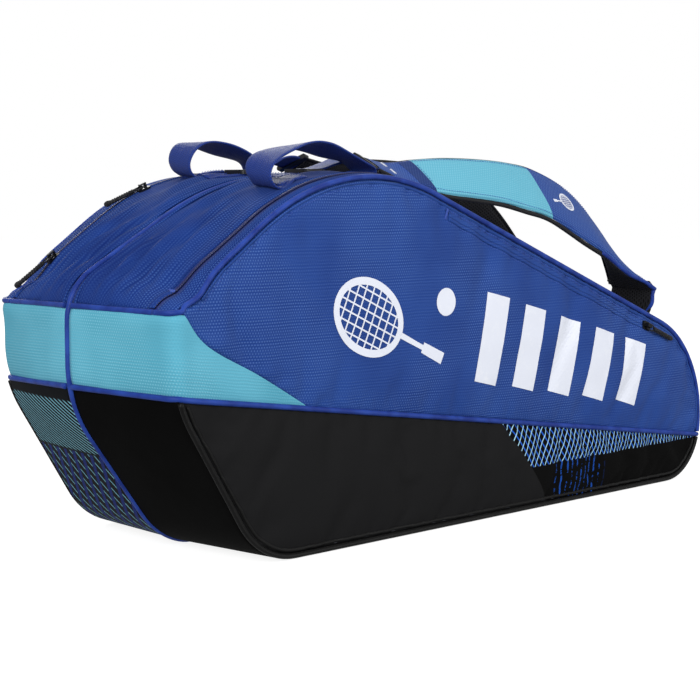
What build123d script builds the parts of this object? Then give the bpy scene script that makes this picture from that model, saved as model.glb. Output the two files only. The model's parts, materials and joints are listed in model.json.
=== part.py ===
"""Racket tournament bag: two padded compartments side by side on a central divider, each closed by a zip
along its arched top, with webbing carry handles and two padded backpack straps.

Millimetres, +Z up. X runs along the bag, from the wide racket-head end (-X) to the narrow grip end (+X).
Y runs through its thickness, with the front compartment at -Y. The origin is on the flat base, at the
middle of the bag's length and thickness.
"""

import math
import os

from build123d import *

# ---- driving dimensions -------------------------------------------------------------------------
MID_X = 386.0  # the origin's distance from the bulged end of the centre seam
HALF_T = 118.0  # centre plane to the side panel's inner face
WALL = 4.0  # padded fabric wall
PANEL_T = 4.0  # side panel
DIVIDER_T = 5.0  # padded board between the compartments
PIPING_R = 2.5
CENTRE_PIPING_R = 2.3
PIPING_GAP = 0.3
PANEL_INSET = 2 * PIPING_R + PIPING_GAP  # the side panel stops inside its piping
SEAM_TILT = 0.139  # how far the waist seam and the fold line fall per millimetre towards the grip end
WAIST_Z = 98.4  # waist seam, at the origin
FOLD_Z = 169.6  # fold line of the opening flap, at the origin
FOLD_GAP = 0.3
ZIP_Y = 99.0  # middle of the zip, from the centre plane
ZIP_HALF = 4.3
ZIP_T = 1.6
HINGE_Y = 123.2  # the flap folds about a line just outside the side panel

# Side outlines as polygon corners (x from the bulged end, z) with a corner radius each.
PANEL_OUTLINE = [
    (108, 0, 76), (15, 148.5, 120), (15, 223, 40), (211.2, 360.5, 236), (768, 148.4, 120), (768, 0, 62),
]
CENTRE_OUTLINE = [
    (101, 0, 80), (0, 135, 110), (0, 236, 50), (213.7, 353.5, 255), (774, 140, 110), (774, 0, 62),
]
ROOF_SLOPE = math.atan(0.381)  # fall of the straight run of the roof towards the grip end

HANDLE_W = 38.0
HANDLE_T = 2.0
FRONT, REAR = -1, 1


def x_of(distance):
    """The X of a distance measured from the bulged end."""
    return distance - MID_X


def inset_corners(corners, inset):
    """The convex polygon's corners moved inwards by inset, and its radii with them."""
    n = len(corners)
    lines = []
    for i in range(n):
        (ax, az, _), (bx, bz, _) = corners[i], corners[(i + 1) % n]
        length = math.hypot(bx - ax, bz - az)
        nx, nz = (bz - az) / length, -(bx - ax) / length  # inwards on a clockwise outline
        lines.append((ax + nx * inset, az + nz * inset, bx - ax, bz - az))
    moved = []
    for i in range(n):
        px, pz, dx, dz = lines[i - 1]
        qx, qz, ex, ez = lines[i]
        t = ((qx - px) * ez - (qz - pz) * ex) / (dx * ez - dz * ex)
        moved.append((px + t * dx, pz + t * dz, corners[i][2] - inset))
    return moved


def outline(corners, inset, y):
    """Closed wire of an outline in the plane Y = y."""
    moved = inset_corners(corners, inset)
    points = [(x_of(x), y, z) for x, z, _ in moved]
    return FilletPolyline(*points, radius=[r for _, _, r in moved], close=True)


def plug(inset, side):
    """Solid half bag: the side outline joined to the centre outline by straight rulings."""
    panel = outline(PANEL_OUTLINE, inset, side * HALF_T)
    centre = outline(CENTRE_OUTLINE, inset, 0)
    return Solid.make_loft([panel.wire(), centre.wire()], ruled=True)


def shell(outer_inset, inner_inset, side):
    return plug(outer_inset, side) - plug(inner_inset, side)


def seam_z(x, level):
    return level - SEAM_TILT * x


def zone(side, y_in, y_out, low=None, high=None, x_low=-450, x_high=450):
    """A block between two tilted seam levels and two distances from the centre plane."""
    bottom = (lambda x: seam_z(x, low)) if low is not None else (lambda x: -50)
    top = (lambda x: seam_z(x, high)) if high is not None else (lambda x: 450)
    corners = [
        (x_low, bottom(x_low)), (x_high, bottom(x_high)), (x_high, top(x_high)), (x_low, top(x_low)),
    ]
    near, far = sorted((side * y_in, side * y_out))
    face = make_face(Polyline(*[(x, near, z) for x, z in corners], close=True))
    return extrude(face, amount=far - near, dir=(0, 1, 0))


def tube(path, radius):
    """A round cord along a path."""
    start = path @ 0
    section = Plane(origin=start, z_dir=path % 0) * Circle(radius)
    return sweep(section, path=path)


def ring(corners, y, radius=PIPING_R):
    """Piping all round an outline, flush with it, so that the bag stands on its whole base."""
    return tube(outline(corners, radius, y), radius)


def straight_cord(start, end, radius=PIPING_R):
    return tube(Line(start, end), radius)


def save(parts):
    os.makedirs("parts", exist_ok=True)
    for name, shape in parts.items():
        export_step(shape, f"parts/{name}.step")


# ---- walls of one compartment --------------------------------------------------------------------
def roof_z(x, y, lift=0.0):
    """Height of the roof's outer face at a place on its straight run or its arch."""
    def top(corners):
        (lx, lz, _), (px, pz, radius), (rx, rz, _) = corners[2:5]
        u = x + MID_X
        rise = math.atan2(pz - lz, px - lx)
        fall = math.atan2(pz - rz, rx - px)
        tangent = radius * math.tan((rise + fall) / 2)
        start, end = px - tangent * math.cos(rise), px + tangent * math.cos(fall)
        if u < start:
            return lz + (u - lx) * math.tan(rise)
        if u > end:
            return pz - (u - px) * math.tan(fall)
        centre_x = start + radius * math.sin(rise)
        centre_z = lz + (start - lx) * math.tan(rise) - radius * math.cos(rise)
        return centre_z + math.sqrt(radius**2 - (u - centre_x) ** 2)
    share = abs(y) / HALF_T
    return share * top(PANEL_OUTLINE) + (1 - share) * top(CENTRE_OUTLINE) + lift


def compartment(side, name):
    wall = shell(0, WALL, side)
    rim = DIVIDER_T / 2
    front_edge = HALF_T
    parts = {}
    parts[f"{name}_base_gusset"] = wall & zone(side, rim, front_edge, high=WAIST_Z)
    parts[f"{name}_end_band"] = wall & zone(side, rim, front_edge, WAIST_Z, FOLD_Z - FOLD_GAP, x_high=0)
    parts[f"{name}_nose_band"] = wall & zone(side, rim, front_edge, WAIST_Z, FOLD_Z - FOLD_GAP, x_low=0)
    parts[f"{name}_roof"] = wall & zone(side, rim, ZIP_Y - ZIP_HALF, FOLD_Z - FOLD_GAP)
    parts[f"{name}_flap_edge"] = wall & zone(side, ZIP_Y + ZIP_HALF, front_edge, FOLD_Z + FOLD_GAP)

    tape = shell(0.4, 0.4 + ZIP_T, side)
    parts[f"{name}_zip_inner_tape"] = tape & zone(side, ZIP_Y - ZIP_HALF, ZIP_Y - 0.15, FOLD_Z + FOLD_GAP)
    parts[f"{name}_zip_outer_tape"] = tape & zone(side, ZIP_Y + 0.15, ZIP_Y + ZIP_HALF, FOLD_Z + FOLD_GAP)

    lining = shell(WALL + 0.3, WALL + 1.3, side)
    parts[f"{name}_lining"] = lining & zone(side, rim + 0.5, front_edge - 0.5, high=FOLD_Z - 1)
    board = zone(side, 12, front_edge - 10, x_low=x_of(160), x_high=x_of(690))
    board_slab = Pos(0, 0, WALL + 1.6 + 1.25) * Box(1000, 400, 2.5)
    parts[f"{name}_base_board"] = board & board_slab

    plate = make_face(outline(PANEL_OUTLINE, PANEL_INSET, side * HALF_T))
    plate = extrude(plate, amount=PANEL_T, dir=(0, side, 0))
    outer = HALF_T + PANEL_T
    parts[f"{name}_lower_panel"] = plate & zone(side, front_edge, outer, high=WAIST_Z)
    waist = plate & zone(side, front_edge, outer, WAIST_Z, FOLD_Z - FOLD_GAP)
    cut_low, cut_high = x_of(168), x_of(12)
    wedge_corners = [
        (x_of(-30), 0), (cut_low, 0), (cut_low, seam_z(cut_low, WAIST_Z)), (cut_high, seam_z(cut_high, FOLD_Z)),
        (x_of(-30), seam_z(cut_high, FOLD_Z)),
    ]
    wedge_face = make_face(Polyline(*[(x, side * 100, z) for x, z in wedge_corners], close=True))
    wedge = extrude(wedge_face, amount=40, dir=(0, side, 0))
    parts[f"{name}_corner_wedge"] = waist & wedge
    parts[f"{name}_waist_panel"] = waist - wedge
    parts[f"{name}_flap_panel"] = plate & zone(side, front_edge, outer, FOLD_Z + FOLD_GAP)
    return parts


def end_x(corners, y, z):
    """X of an outline's wide end at a height."""
    chord = make_face(outline(corners, 0, y)) & Line((x_of(-50), y, z), (0, y, z))
    return chord.bounding_box().min.X


def pipings(side, name):
    """The welts of one compartment: round its side panel, along its waist and over its end band."""
    y = side * (HALF_T + PIPING_R + PIPING_GAP)
    loop = ring(PANEL_OUTLINE, y)
    clear = PIPING_R + 0.4
    span = (HALF_T - 10, HALF_T + 20)
    lower = loop & zone(side, *span, high=WAIST_Z - clear)
    nose = loop & zone(side, *span, WAIST_Z + clear, FOLD_Z - FOLD_GAP, x_low=0)
    parts = {
        f"{name}_flap_piping": loop & zone(side, *span, FOLD_Z + FOLD_GAP),
        f"{name}_panel_piping": Compound(children=[*lower.solids(), *nose.solids()]),
    }
    out_y = side * (HALF_T + PANEL_T + PIPING_R + PIPING_GAP)
    centre_y = side * (DIVIDER_T / 2 + PIPING_R + 1)
    stand_off = PIPING_R + 1.2

    def end_point(corners, y, at_y, level):
        x = end_x(corners, y, seam_z(x_of(10), level)) - stand_off
        return x, at_y, seam_z(x, level)

    def end_run(level):
        return [end_point(PANEL_OUTLINE, y, out_y, level), end_point(CENTRE_OUTLINE, 0, centre_y, level)]

    nose_x = x_of(764)
    waist_path = [(nose_x, out_y, seam_z(nose_x, WAIST_Z))] + end_run(WAIST_Z)
    parts[f"{name}_waist_piping"] = tube(FilletPolyline(*waist_path, radius=[PIPING_R + 0.5]), PIPING_R)
    parts[f"{name}_band_piping"] = straight_cord(*end_run(FOLD_Z - PIPING_R - 1))
    return parts


# ---- zips ----------------------------------------------------------------------------------------
SLIDER_L, SLIDER_W, SLIDER_T = 13.0, 9.0, 3.0
BAIL_H = 3.2
PULL_L, PULL_W, PULL_T = 48.0, 7.0, 3.0
PULL_ARM = 14.0
PULL_Z = SLIDER_T + BAIL_H / 2 - 0.1
PIN_R = 0.9


def zip_slider(place):
    """A zip slider with the bridge that its pull hangs on. Local +Z points off the bag."""
    base = Pos(0, 0, SLIDER_T / 2) * Box(SLIDER_L, SLIDER_W, SLIDER_T)
    base = fillet(base.edges().filter_by(Axis.Z), 2.5)
    post = Box(1.6, 3.0, BAIL_H + 1.4)
    bridge = Pos(0, 0, SLIDER_T + BAIL_H + 0.7) * Box(7.6, 3.0, 1.4)
    legs = [Pos(x, 0, SLIDER_T + (BAIL_H + 1.4) / 2) * post for x in (-3, 3)]
    return place * (base + bridge + legs[0] + legs[1])


def zip_pull(place, droop=0.0):
    """A wire loop on the slider's bridge with a cord tail along local -X, which may droop sideways."""
    pin = Pos(0, 0, PULL_Z) * Rot(90, 0, 0) * Cylinder(PIN_R, PULL_W)
    reach = PULL_ARM + 3
    arm = Pos(-reach / 2, 0, PULL_Z) * Box(reach, 1.8, 1.8)
    arms = [Pos(0, y, 0) * arm for y in (-PULL_W / 2 + 0.9, PULL_W / 2 - 0.9)]
    tail_l = PULL_L - PULL_ARM
    tail = Pos(-tail_l / 2, 0, 0) * Box(tail_l, PULL_W, PULL_T)
    tail = fillet(tail.edges().filter_by(Axis.Z), 1.5)
    tail = Pos(-PULL_ARM, 0, PULL_Z) * Rot(0, 0, droop) * tail
    return place * (pin + arms[0] + arms[1] + tail)


def pull_pivot(place):
    return (place * Pos(0, 0, PULL_Z)).position


def roof_fall(x, y):
    """How steeply the roof falls towards the grip end, as an angle."""
    return math.atan(roof_z(x - 0.5, y) - roof_z(x + 0.5, y))


def on_roof(x, y, lift):
    """A place above the roof's outer face, turned so that local +X runs down it towards the grip end."""
    fall = roof_fall(x, y)
    offset = Vector(math.sin(fall), 0, math.cos(fall)) * lift
    return Pos(x + offset.X, y, roof_z(x, y) + offset.Z) * Rot(0, math.degrees(fall), 0)


ZIP_LIFT = 0.9
SLIDER_Y = ZIP_Y - SLIDER_W / 2 - 0.3  # on the roof's side of the zip, so that the flap can leave it
SLIDER_X = {"front_upper": 150.0, "front_lower": 284.0, "rear_end": -331.0, "rear_arch": -228.0}


def arch_centre(y):
    """X and Z of the centre of the circle that the roof's arch follows at a distance from the centre plane."""
    (ax, az), (bx, bz), (cx, cz) = [(x, roof_z(x, y)) for x in (-230, -160, -85)]
    d = 2 * (ax * (bz - cz) + bx * (cz - az) + cx * (az - bz))
    a, b, c = ax**2 + az**2, bx**2 + bz**2, cx**2 + cz**2
    x = (a * (bz - cz) + b * (cz - az) + c * (az - bz)) / d
    z = (a * (cx - bx) + b * (ax - cx) + c * (bx - ax)) / d
    return x, z


def sliders():
    """The four zip sliders of the two compartments, with their pulls."""
    parts = {}
    for name, x in SLIDER_X.items():
        side = FRONT if name.startswith("front") else REAR
        place = on_roof(x, side * SLIDER_Y, ZIP_LIFT)
        parts[f"{name}_slider"] = zip_slider(place)
        parts[f"{name}_pull"] = zip_pull(place)
        print("pivot", name, pull_pivot(place), "fall", roof_fall(x, SLIDER_Y))
    print("arch centre", arch_centre(SLIDER_Y))
    return parts


# ---- pocket in the front flap ----------------------------------------------------------------------
POCKET_ZIP_DROP = 16.0  # below the top edge of the panel, square to it
POCKET_X = (-40.0, 285.0)
POCKET_ZIP_W = 7.0
POCKET_ZIP_T = 1.2
POUCH_L, POUCH_T, POUCH_H = 230.0, 4.0, 44.0
POUCH_DROP = 26.0
POCKET_PULL_DROOP = 30.0
PANEL_Y = HALF_T + PANEL_T


def pocket():
    """The accessory pocket: a short zip just below the flap's sloping edge, and the pouch behind it."""
    down = Vector(-math.sin(ROOF_SLOPE), 0, -math.cos(ROOF_SLOPE))
    turn = Rot(0, math.degrees(ROOF_SLOPE), 0)

    def along(x):
        return Vector(x, 0, roof_z(x, -HALF_T)) + down * POCKET_ZIP_DROP

    start, end = along(POCKET_X[0]), along(POCKET_X[1])
    middle = (start + end) / 2
    tape = Pos(middle.X, -PANEL_Y - POCKET_ZIP_T / 2, middle.Z) * turn
    tape = tape * Box((end - start).length, POCKET_ZIP_T, POCKET_ZIP_W)
    pouch_mid = along(115) + down * POUCH_DROP
    pouch = Pos(pouch_mid.X, -HALF_T + POUCH_T / 2, pouch_mid.Z) * turn * Box(POUCH_L, POUCH_T, POUCH_H)
    rest = along(POCKET_X[1] - 8)
    # Local +X runs back up the zip, so that the pull hangs off its low end.
    place = Pos(rest.X, -PANEL_Y - POCKET_ZIP_T - 0.2, rest.Z) * turn * Rot(90, 0, 0) * Rot(0, 0, 180)
    print("pivot pocket", pull_pivot(place), "along", Plane(place).x_dir, "pin", Plane(place).y_dir)
    return {
        "pocket_zip_tape": tape,
        "pocket_pouch": pouch,
        "pocket_slider": zip_slider(place),
        "pocket_pull": zip_pull(place, POCKET_PULL_DROOP),
    }


# ---- centre ----------------------------------------------------------------------------------------
BINDING_X = (-200.0, 310.0)  # the flat bound seam under the base
BINDING_H = 4.4


def centre_seam():
    """The welt all round the centre seam, which runs out into a flat bound seam where the bag stands."""
    loop = ring(CENTRE_OUTLINE, 0, CENTRE_PIPING_R)
    start, end = BINDING_X
    width = 2 * CENTRE_PIPING_R
    binding = Pos((start + end) / 2, 0, BINDING_H / 2) * Box(end - start, width, BINDING_H)
    gap = Pos((start + end) / 2, 0, 0) * Box(end - start + 0.6, 20, 20)
    return Compound(children=[*(loop - gap).solids(), *binding.solids()])


def centre_pieces():
    divider_face = make_face(outline(CENTRE_OUTLINE, PANEL_INSET, -DIVIDER_T / 2))
    divider = extrude(divider_face, amount=DIVIDER_T, dir=(0, 1, 0))
    return {"centre_divider": divider, "centre_piping": centre_seam()}


# ---- carry handles and backpack straps -------------------------------------------------------------
PATCH_LOW, PATCH_T = 0.3, 1.5
HANDLE_Y = 74.0
HANDLE_FEET = {FRONT: (-205.0, -104.0), REAR: (-172.0, -104.0)}
HANDLE_FOLD = {FRONT: -248.0, REAR: -212.0}
HANDLE_TOP = 362.0
FOOT_CLEAR = PATCH_LOW + PATCH_T + 0.5


def patch(side, y_mid, width, x_low, x_high):
    """A sewn-on patch that follows the roof's outer face."""
    cover = shell(-(PATCH_LOW + PATCH_T), -PATCH_LOW, side)
    return cover & zone(side, y_mid - width / 2, y_mid + width / 2, FOLD_Z + 20, None, x_low, x_high)


def foot_disc(centre, radius, thickness, slope):
    """The rounded end of a strap or handle: a disc about the line that it swings on."""
    return Pos(*centre) * Rot(0, 90 + math.degrees(slope), 0) * Cylinder(radius, thickness)


def handle(side):
    """A webbing loop that has flopped over towards the wide end, as a strip on edge to the roof."""
    y = side * HANDLE_Y
    left, right = HANDLE_FEET[side]
    radius = HANDLE_W / 2
    left_z = roof_z(left, y, radius + FOOT_CLEAR)
    right_z = roof_z(right, y, radius + FOOT_CLEAR)
    fold = HANDLE_FOLD[side]
    low_run = HANDLE_TOP - 11
    points = [
        (left, y, left_z - 4), (left, y, low_run), (fold, y, low_run), (fold, y, HANDLE_TOP),
        (left + 20, y, HANDLE_TOP), (right, y, right_z + 8), (right, y, right_z - 4),
    ]
    path = FilletPolyline(*points, radius=[4, 5.2, 5.2, 20, 5])
    section = Plane(origin=path @ 0, x_dir=(0, 1, 0), z_dir=path % 0) * Rectangle(HANDLE_W, HANDLE_T)
    strip = sweep(section, path=path)
    slope = math.atan2(left_z - right_z, right - left)
    loop = strip
    for x, z in ((left, left_z), (right, right_z)):
        loop = loop + foot_disc((x, y, z), radius, HANDLE_T, slope)
    print("handle pivot", side, (left, y, left_z), (right, y, right_z))
    return loop


STRAP_T = 8.0
STRAP_TONGUE_W, STRAP_TONGUE_T = 30.0, 4.0
STRAP_FOOT_W, STRAP_FOOT_T = 58.0, 6.0
STRAP_LEFT = Vector(-74, 50, 342)  # the two ends of the line that a strap swings about, from the centre plane
STRAP_RIGHT = Vector(312, 78, 210)
# A strap's inner and outer edges, each as (x, distance from the centre plane, z), with its thickness.
STRAP_STATIONS = [
    ((-72, 37, 348), (-72, 63, 336), 4.0),
    ((-42, 37, 343), (-42, 72, 323), 5.0),
    ((-7, 44, 346), (-7, 84, 313), 7.0),
    ((30, 52, 348), (28, 88, 309), STRAP_T),
    ((77, 58, 347), (72, 91, 304), STRAP_T),
    ((118, 60, 344), (110, 94, 296), STRAP_T),
    ((156, 60, 338), (148, 95, 287), STRAP_T),
    ((205, 60, 321), (200, 98, 263), STRAP_T),
    ((245, 60, 294), (235, 101, 247), STRAP_T),
    ((275, 56, 262), (268, 104, 228), STRAP_T),
    ((296, 52, 234), (294, 106, 219), 7.0),
    ((309, 49, 214), (313, 107, 210), STRAP_FOOT_T),
]


def on_side(point, side):
    x, y, z = point
    return Vector(x, side * y, z)


def foot_line(side):
    return on_side(STRAP_LEFT, side), on_side(STRAP_RIGHT, side)


def strap_sections(side):
    """A rectangular wire at each station, square to the strap's run."""
    inner = [on_side(a, side) for a, _, _ in STRAP_STATIONS]
    outer = [on_side(b, side) for _, b, _ in STRAP_STATIONS]
    middles = [(a + b) / 2 for a, b in zip(inner, outer)]
    last = len(middles) - 1
    for i, (_, _, thick) in enumerate(STRAP_STATIONS):
        along = (middles[min(i + 1, last)] - middles[max(i - 1, 0)]).normalized()
        normal = along.cross(outer[i] - inner[i]).normalized() * (thick / 2)
        corners = [inner[i] + normal, outer[i] + normal, outer[i] - normal, inner[i] - normal]
        yield Polyline(*corners, close=True).wire()


def strap(side):
    """A padded strap that arches over the roof, twisting from its tongue to its wide foot."""
    left, right = foot_line(side)
    body = Solid.make_loft(list(strap_sections(side)), ruled=True)
    if body.volume < 0:
        body = -body
    swing = (right - left).normalized()
    tongue = Plane(origin=left, z_dir=swing) * Cylinder(STRAP_TONGUE_W / 2, STRAP_TONGUE_T)
    foot = Plane(origin=right, z_dir=swing) * Cylinder(STRAP_FOOT_W / 2, STRAP_FOOT_T)
    print("strap", side, left, right, body.is_valid, body.volume)
    return Part() + body + tongue + foot


BAR_L, BAR_W, BAR_T = 6.0, 36.0, 5.0


def strap_bar(side):
    """The plastic bar buckle at the strap's tongue."""
    left, right = foot_line(side)
    swing = (right - left).normalized()
    (ax, ay, az), (bx, by, bz), _ = STRAP_STATIONS[0]
    across = Vector(bx - ax, side * (by - ay), bz - az)
    plane = Plane(origin=left - swing * (STRAP_TONGUE_T / 2 + BAR_L / 2 + 0.1), x_dir=across, z_dir=swing)
    return plane * fillet(Box(BAR_W, BAR_T, BAR_L).edges().filter_by(Axis.Z), 2.0)


LOCK = (-150.0, 42.0)
LOCK_L, LOCK_W, LOCK_T = 26.0, 30.0, 4.0
WEB_W = 25.0


def ladder_lock(side):
    """A plastic ladder-lock buckle: a frame with a middle bar and two slots for the webbing."""
    x, y = LOCK
    frame = Box(LOCK_L, LOCK_W, LOCK_T)
    frame = fillet(frame.edges().filter_by(Axis.Z), 4)
    slot = Box(7, WEB_W + 1, LOCK_T * 2)
    frame = frame - Pos(-5.6, 0, 0) * slot - Pos(5.6, 0, 0) * slot
    lip = Pos(LOCK_L / 2 + 2.4, 0, 1.2) * Rot(0, -20, 0) * Box(6, LOCK_W - 8, 2.0)
    z = roof_z(x, y, PATCH_LOW + PATCH_T + 1.2 + LOCK_T / 2)
    return Pos(x, side * y, z) * (frame + lip)


def group(shapes):
    return Compound(children=[solid for shape in shapes for solid in shape.solids()])


def fittings(side, name):
    left, right = HANDLE_FEET[side]
    strap_left, strap_right = STRAP_LEFT, STRAP_RIGHT
    lock_x, lock_y = LOCK
    return {
        f"{name}_handle_patches": group([
            patch(side, HANDLE_Y - 1, 30, left - 16, left + 16),
            patch(side, HANDLE_Y - 1, 30, right - 12, right + 16),
        ]),
        f"{name}_strap_webbing": group([
            patch(side, lock_y, WEB_W, -190, strap_left.X + 20),
            patch(side, strap_right.Y - 12, 46, strap_right.X - 44, strap_right.X + 2),
        ]),
        f"{name}_ladder_lock": ladder_lock(side),
        f"{name}_handle": handle(side),
        f"{name}_strap_pad": strap(side),
        f"{name}_strap_bar": strap_bar(side),
    }


def main():
    parts = {}
    for side, name in ((FRONT, "front"), (REAR, "rear")):
        parts.update(compartment(side, name))
        parts.update(pipings(side, name))
        parts.update(fittings(side, name))
    parts.update(centre_pieces())
    parts.update(sliders())
    parts.update(pocket())
    save(parts)


main()
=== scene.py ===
"""Looks of the racket tournament bag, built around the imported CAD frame.

Lengths in the geometry code are millimetres and are scaled to metres when a mesh is made. X runs along the
bag from the wide end (-X) to the narrow nose (+X), Z is up, and the front compartment is at -Y.
"""

import json
import math

import bmesh
import bpy
import numpy as np
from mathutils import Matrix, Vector, noise
from mathutils.bvhtree import BVHTree


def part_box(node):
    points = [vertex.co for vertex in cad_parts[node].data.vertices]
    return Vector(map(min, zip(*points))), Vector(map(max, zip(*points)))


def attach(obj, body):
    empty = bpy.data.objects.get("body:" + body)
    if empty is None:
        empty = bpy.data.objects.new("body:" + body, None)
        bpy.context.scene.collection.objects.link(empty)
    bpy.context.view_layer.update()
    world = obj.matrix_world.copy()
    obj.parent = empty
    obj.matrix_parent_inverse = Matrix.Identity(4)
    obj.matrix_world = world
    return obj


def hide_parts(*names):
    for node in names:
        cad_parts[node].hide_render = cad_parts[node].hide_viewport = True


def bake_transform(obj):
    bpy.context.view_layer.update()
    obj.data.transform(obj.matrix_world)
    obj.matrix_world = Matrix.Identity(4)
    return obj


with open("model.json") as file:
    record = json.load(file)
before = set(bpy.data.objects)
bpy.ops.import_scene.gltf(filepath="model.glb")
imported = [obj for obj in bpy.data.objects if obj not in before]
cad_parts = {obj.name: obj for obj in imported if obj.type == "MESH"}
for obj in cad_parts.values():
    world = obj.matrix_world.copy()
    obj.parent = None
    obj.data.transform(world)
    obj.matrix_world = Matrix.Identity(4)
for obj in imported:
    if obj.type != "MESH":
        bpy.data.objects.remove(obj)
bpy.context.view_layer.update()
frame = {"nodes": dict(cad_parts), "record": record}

MM = 0.001
FRONT, REAR = -1, 1
SIDES = ((FRONT, "front"), (REAR, "rear"))

# ---- sizes that the CAD is built from --------------------------------------------------------------
MID_X = 386.0
HALF_T = 118.0
TILT = 0.139  # fall of the waist seam and the fold line towards the nose
LEVEL = math.hypot(1.0, TILT)
WAIST_Z = 98.4
FOLD_Z = 169.6
ZIP_IN, ZIP_OUT = 94.7, 103.3
PIPING_R = 2.5
PIPING_Y = 120.8
# x, z and radius of each corner of the outlines, at the side panels and at the centre plane
PANEL_CORNERS = [
    (108, 0, 76), (15, 148.5, 120), (15, 223, 40), (211.2, 360.5, 236), (768, 148.4, 120), (768, 0, 62),
]
CENTRE_CORNERS = [
    (101, 0, 80), (0, 135, 110), (0, 236, 50), (213.7, 353.5, 255), (774, 140, 110), (774, 0, 62),
]
# How many steps along each corner's arc, and along the straight run after it.
CELLS = [(14, 18), (12, 4), (8, 16), (38, 64), (26, 2), (16, 90)]


# ---- small tools -----------------------------------------------------------------------------------
def smooth(x, lo, hi):
    """A soft step from 0 at lo to 1 at hi."""
    t = np.clip((np.asarray(x, float) - lo) / (hi - lo), 0, 1)
    return t * t * (3 - 2 * t)


def unit(v):
    """Vectors scaled to length 1."""
    v = np.asarray(v, float)
    return v / np.maximum(np.linalg.norm(v, axis=-1, keepdims=True), 1e-9)


def run_of(points):
    """Distance along a polyline to each of its points."""
    return np.concatenate([[0], np.cumsum(np.linalg.norm(np.diff(points, axis=0), axis=1))])


def read(where, run, values):
    """Each column of values, read at distances along a line."""
    return np.stack([np.interp(where, run, values[:, k]) for k in range(values.shape[1])], axis=-1)


def resample(points, count):
    """count + 1 points at even steps along a polyline."""
    points = np.asarray(points, float)
    run = run_of(points)
    return read(np.linspace(0, run[-1], count + 1), run, points)


def through(points, per=14):
    """A smooth line through the points, with the same number of steps between each two."""
    p = np.asarray(points, float)
    p = np.vstack([2 * p[0] - p[1], p, 2 * p[-1] - p[-2]])
    fine = []
    for i in range(1, len(p) - 2):
        a, b, c, d = p[i - 1], p[i], p[i + 1], p[i + 2]
        for t in np.linspace(0, 1, per, endpoint=False):
            fine.append(0.5 * (2 * b + (c - a) * t + (2 * a - 5 * b + 4 * c - d) * t**2
                               + (3 * b - a - 3 * c + d) * t**3))
    fine.append(p[-2])
    return np.array(fine)


def spline(points, count):
    """A smooth line through the points, as count + 1 points at even steps."""
    return resample(through(points, 16), count)


def stood(flat, y):
    """3D points from (x, z) points and their y."""
    return np.stack([flat[:, 0], np.broadcast_to(y, len(flat)), flat[:, 1]], axis=1)


def wobble(points, period, seed=0.0):
    """Smooth noise from -1 to 1 at each point."""
    return np.array([noise.noise(Vector((x / period + seed, y / period, z / period))) for x, y, z in points])


def make(name, verts, faces, materials, cloth=None, slots=None, shade_smooth=True):
    """An object from vertices in millimetres, with its cloth coordinates kept as a point attribute."""
    mesh = bpy.data.meshes.new(name)
    mesh.from_pydata((np.asarray(verts, float) * MM).tolist(), [], [tuple(map(int, f)) for f in faces])
    if cloth is not None:
        layer = mesh.attributes.new("cloth", "FLOAT_VECTOR", "POINT")
        flat = np.zeros((len(verts), 3), np.float32)
        flat[:, :np.asarray(cloth).shape[1]] = cloth
        layer.data.foreach_set("vector", flat.ravel())
    for material in materials if isinstance(materials, (list, tuple)) else [materials]:
        mesh.materials.append(material)
    if slots is not None:
        mesh.polygons.foreach_set("material_index", np.asarray(slots, np.int32))
    mesh.polygons.foreach_set("use_smooth", np.full(len(mesh.polygons), shade_smooth))
    mesh.update()
    obj = bpy.data.objects.new(name, mesh)
    bpy.context.scene.collection.objects.link(obj)
    return obj


def grid_faces(rows, cols, close_cols=False, flip=False):
    """Quads of a grid whose vertices are numbered row by row."""
    faces = []
    for r in range(rows - 1):
        for c in range(cols if close_cols else cols - 1):
            d = (c + 1) % cols
            quad = (r * cols + c, r * cols + d, (r + 1) * cols + d, (r + 1) * cols + c)
            faces.append(quad[::-1] if flip else quad)
    return faces


def thicken(obj, thickness):
    """Gives a sheet its thickness, away from its outer face."""
    solid = obj.modifiers.new("thickness", "SOLIDIFY")
    solid.thickness = thickness * MM
    solid.offset = -1
    solid.use_rim = True
    solid.use_even_offset = False
    return obj


def finish_piece(obj, body, slot, *nodes):
    """Fixes a piece to a body and lets it stand in for the CAD nodes named. The slot argument is not used."""
    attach(obj, body)
    if nodes:
        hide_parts(*nodes)
    return obj


class Pile:
    """Collects many small meshes into one."""

    def __init__(self):
        self.verts, self.faces, self.cloth, self.count = [], [], [], 0

    def add(self, verts, faces, cloth=None):
        verts = np.asarray(verts, float)
        self.verts.append(verts)
        self.faces += [tuple(i + self.count for i in f) for f in faces]
        self.cloth.append(np.zeros((len(verts), 2)) if cloth is None else np.asarray(cloth, float)[:, :2])
        self.count += len(verts)

    def placed(self, place):
        """The same pile, with its flat points laid on a surface all at once."""
        self.verts = [place(np.vstack(self.verts))]
        return self

    def build(self, name, material, shade_smooth=True):
        return make(name, np.vstack(self.verts), self.faces, material, np.vstack(self.cloth),
                    shade_smooth=shade_smooth)


def frames(points):
    """Directions along a line and two steady directions across it."""
    tangents = unit(np.gradient(points, axis=0))
    across = np.cross(tangents[0], (0.0, 0.0, 1.0))
    if np.linalg.norm(across) < 0.2:
        across = np.cross(tangents[0], (0.0, 1.0, 0.0))
    normal = unit(np.cross(across, tangents[0]))
    normals = [normal]
    for t in tangents[1:]:
        n = normals[-1] - t * np.dot(normals[-1], t)
        normals.append(unit(n))
    normals = np.array(normals)
    return tangents, normals, np.cross(tangents, normals)


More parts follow.
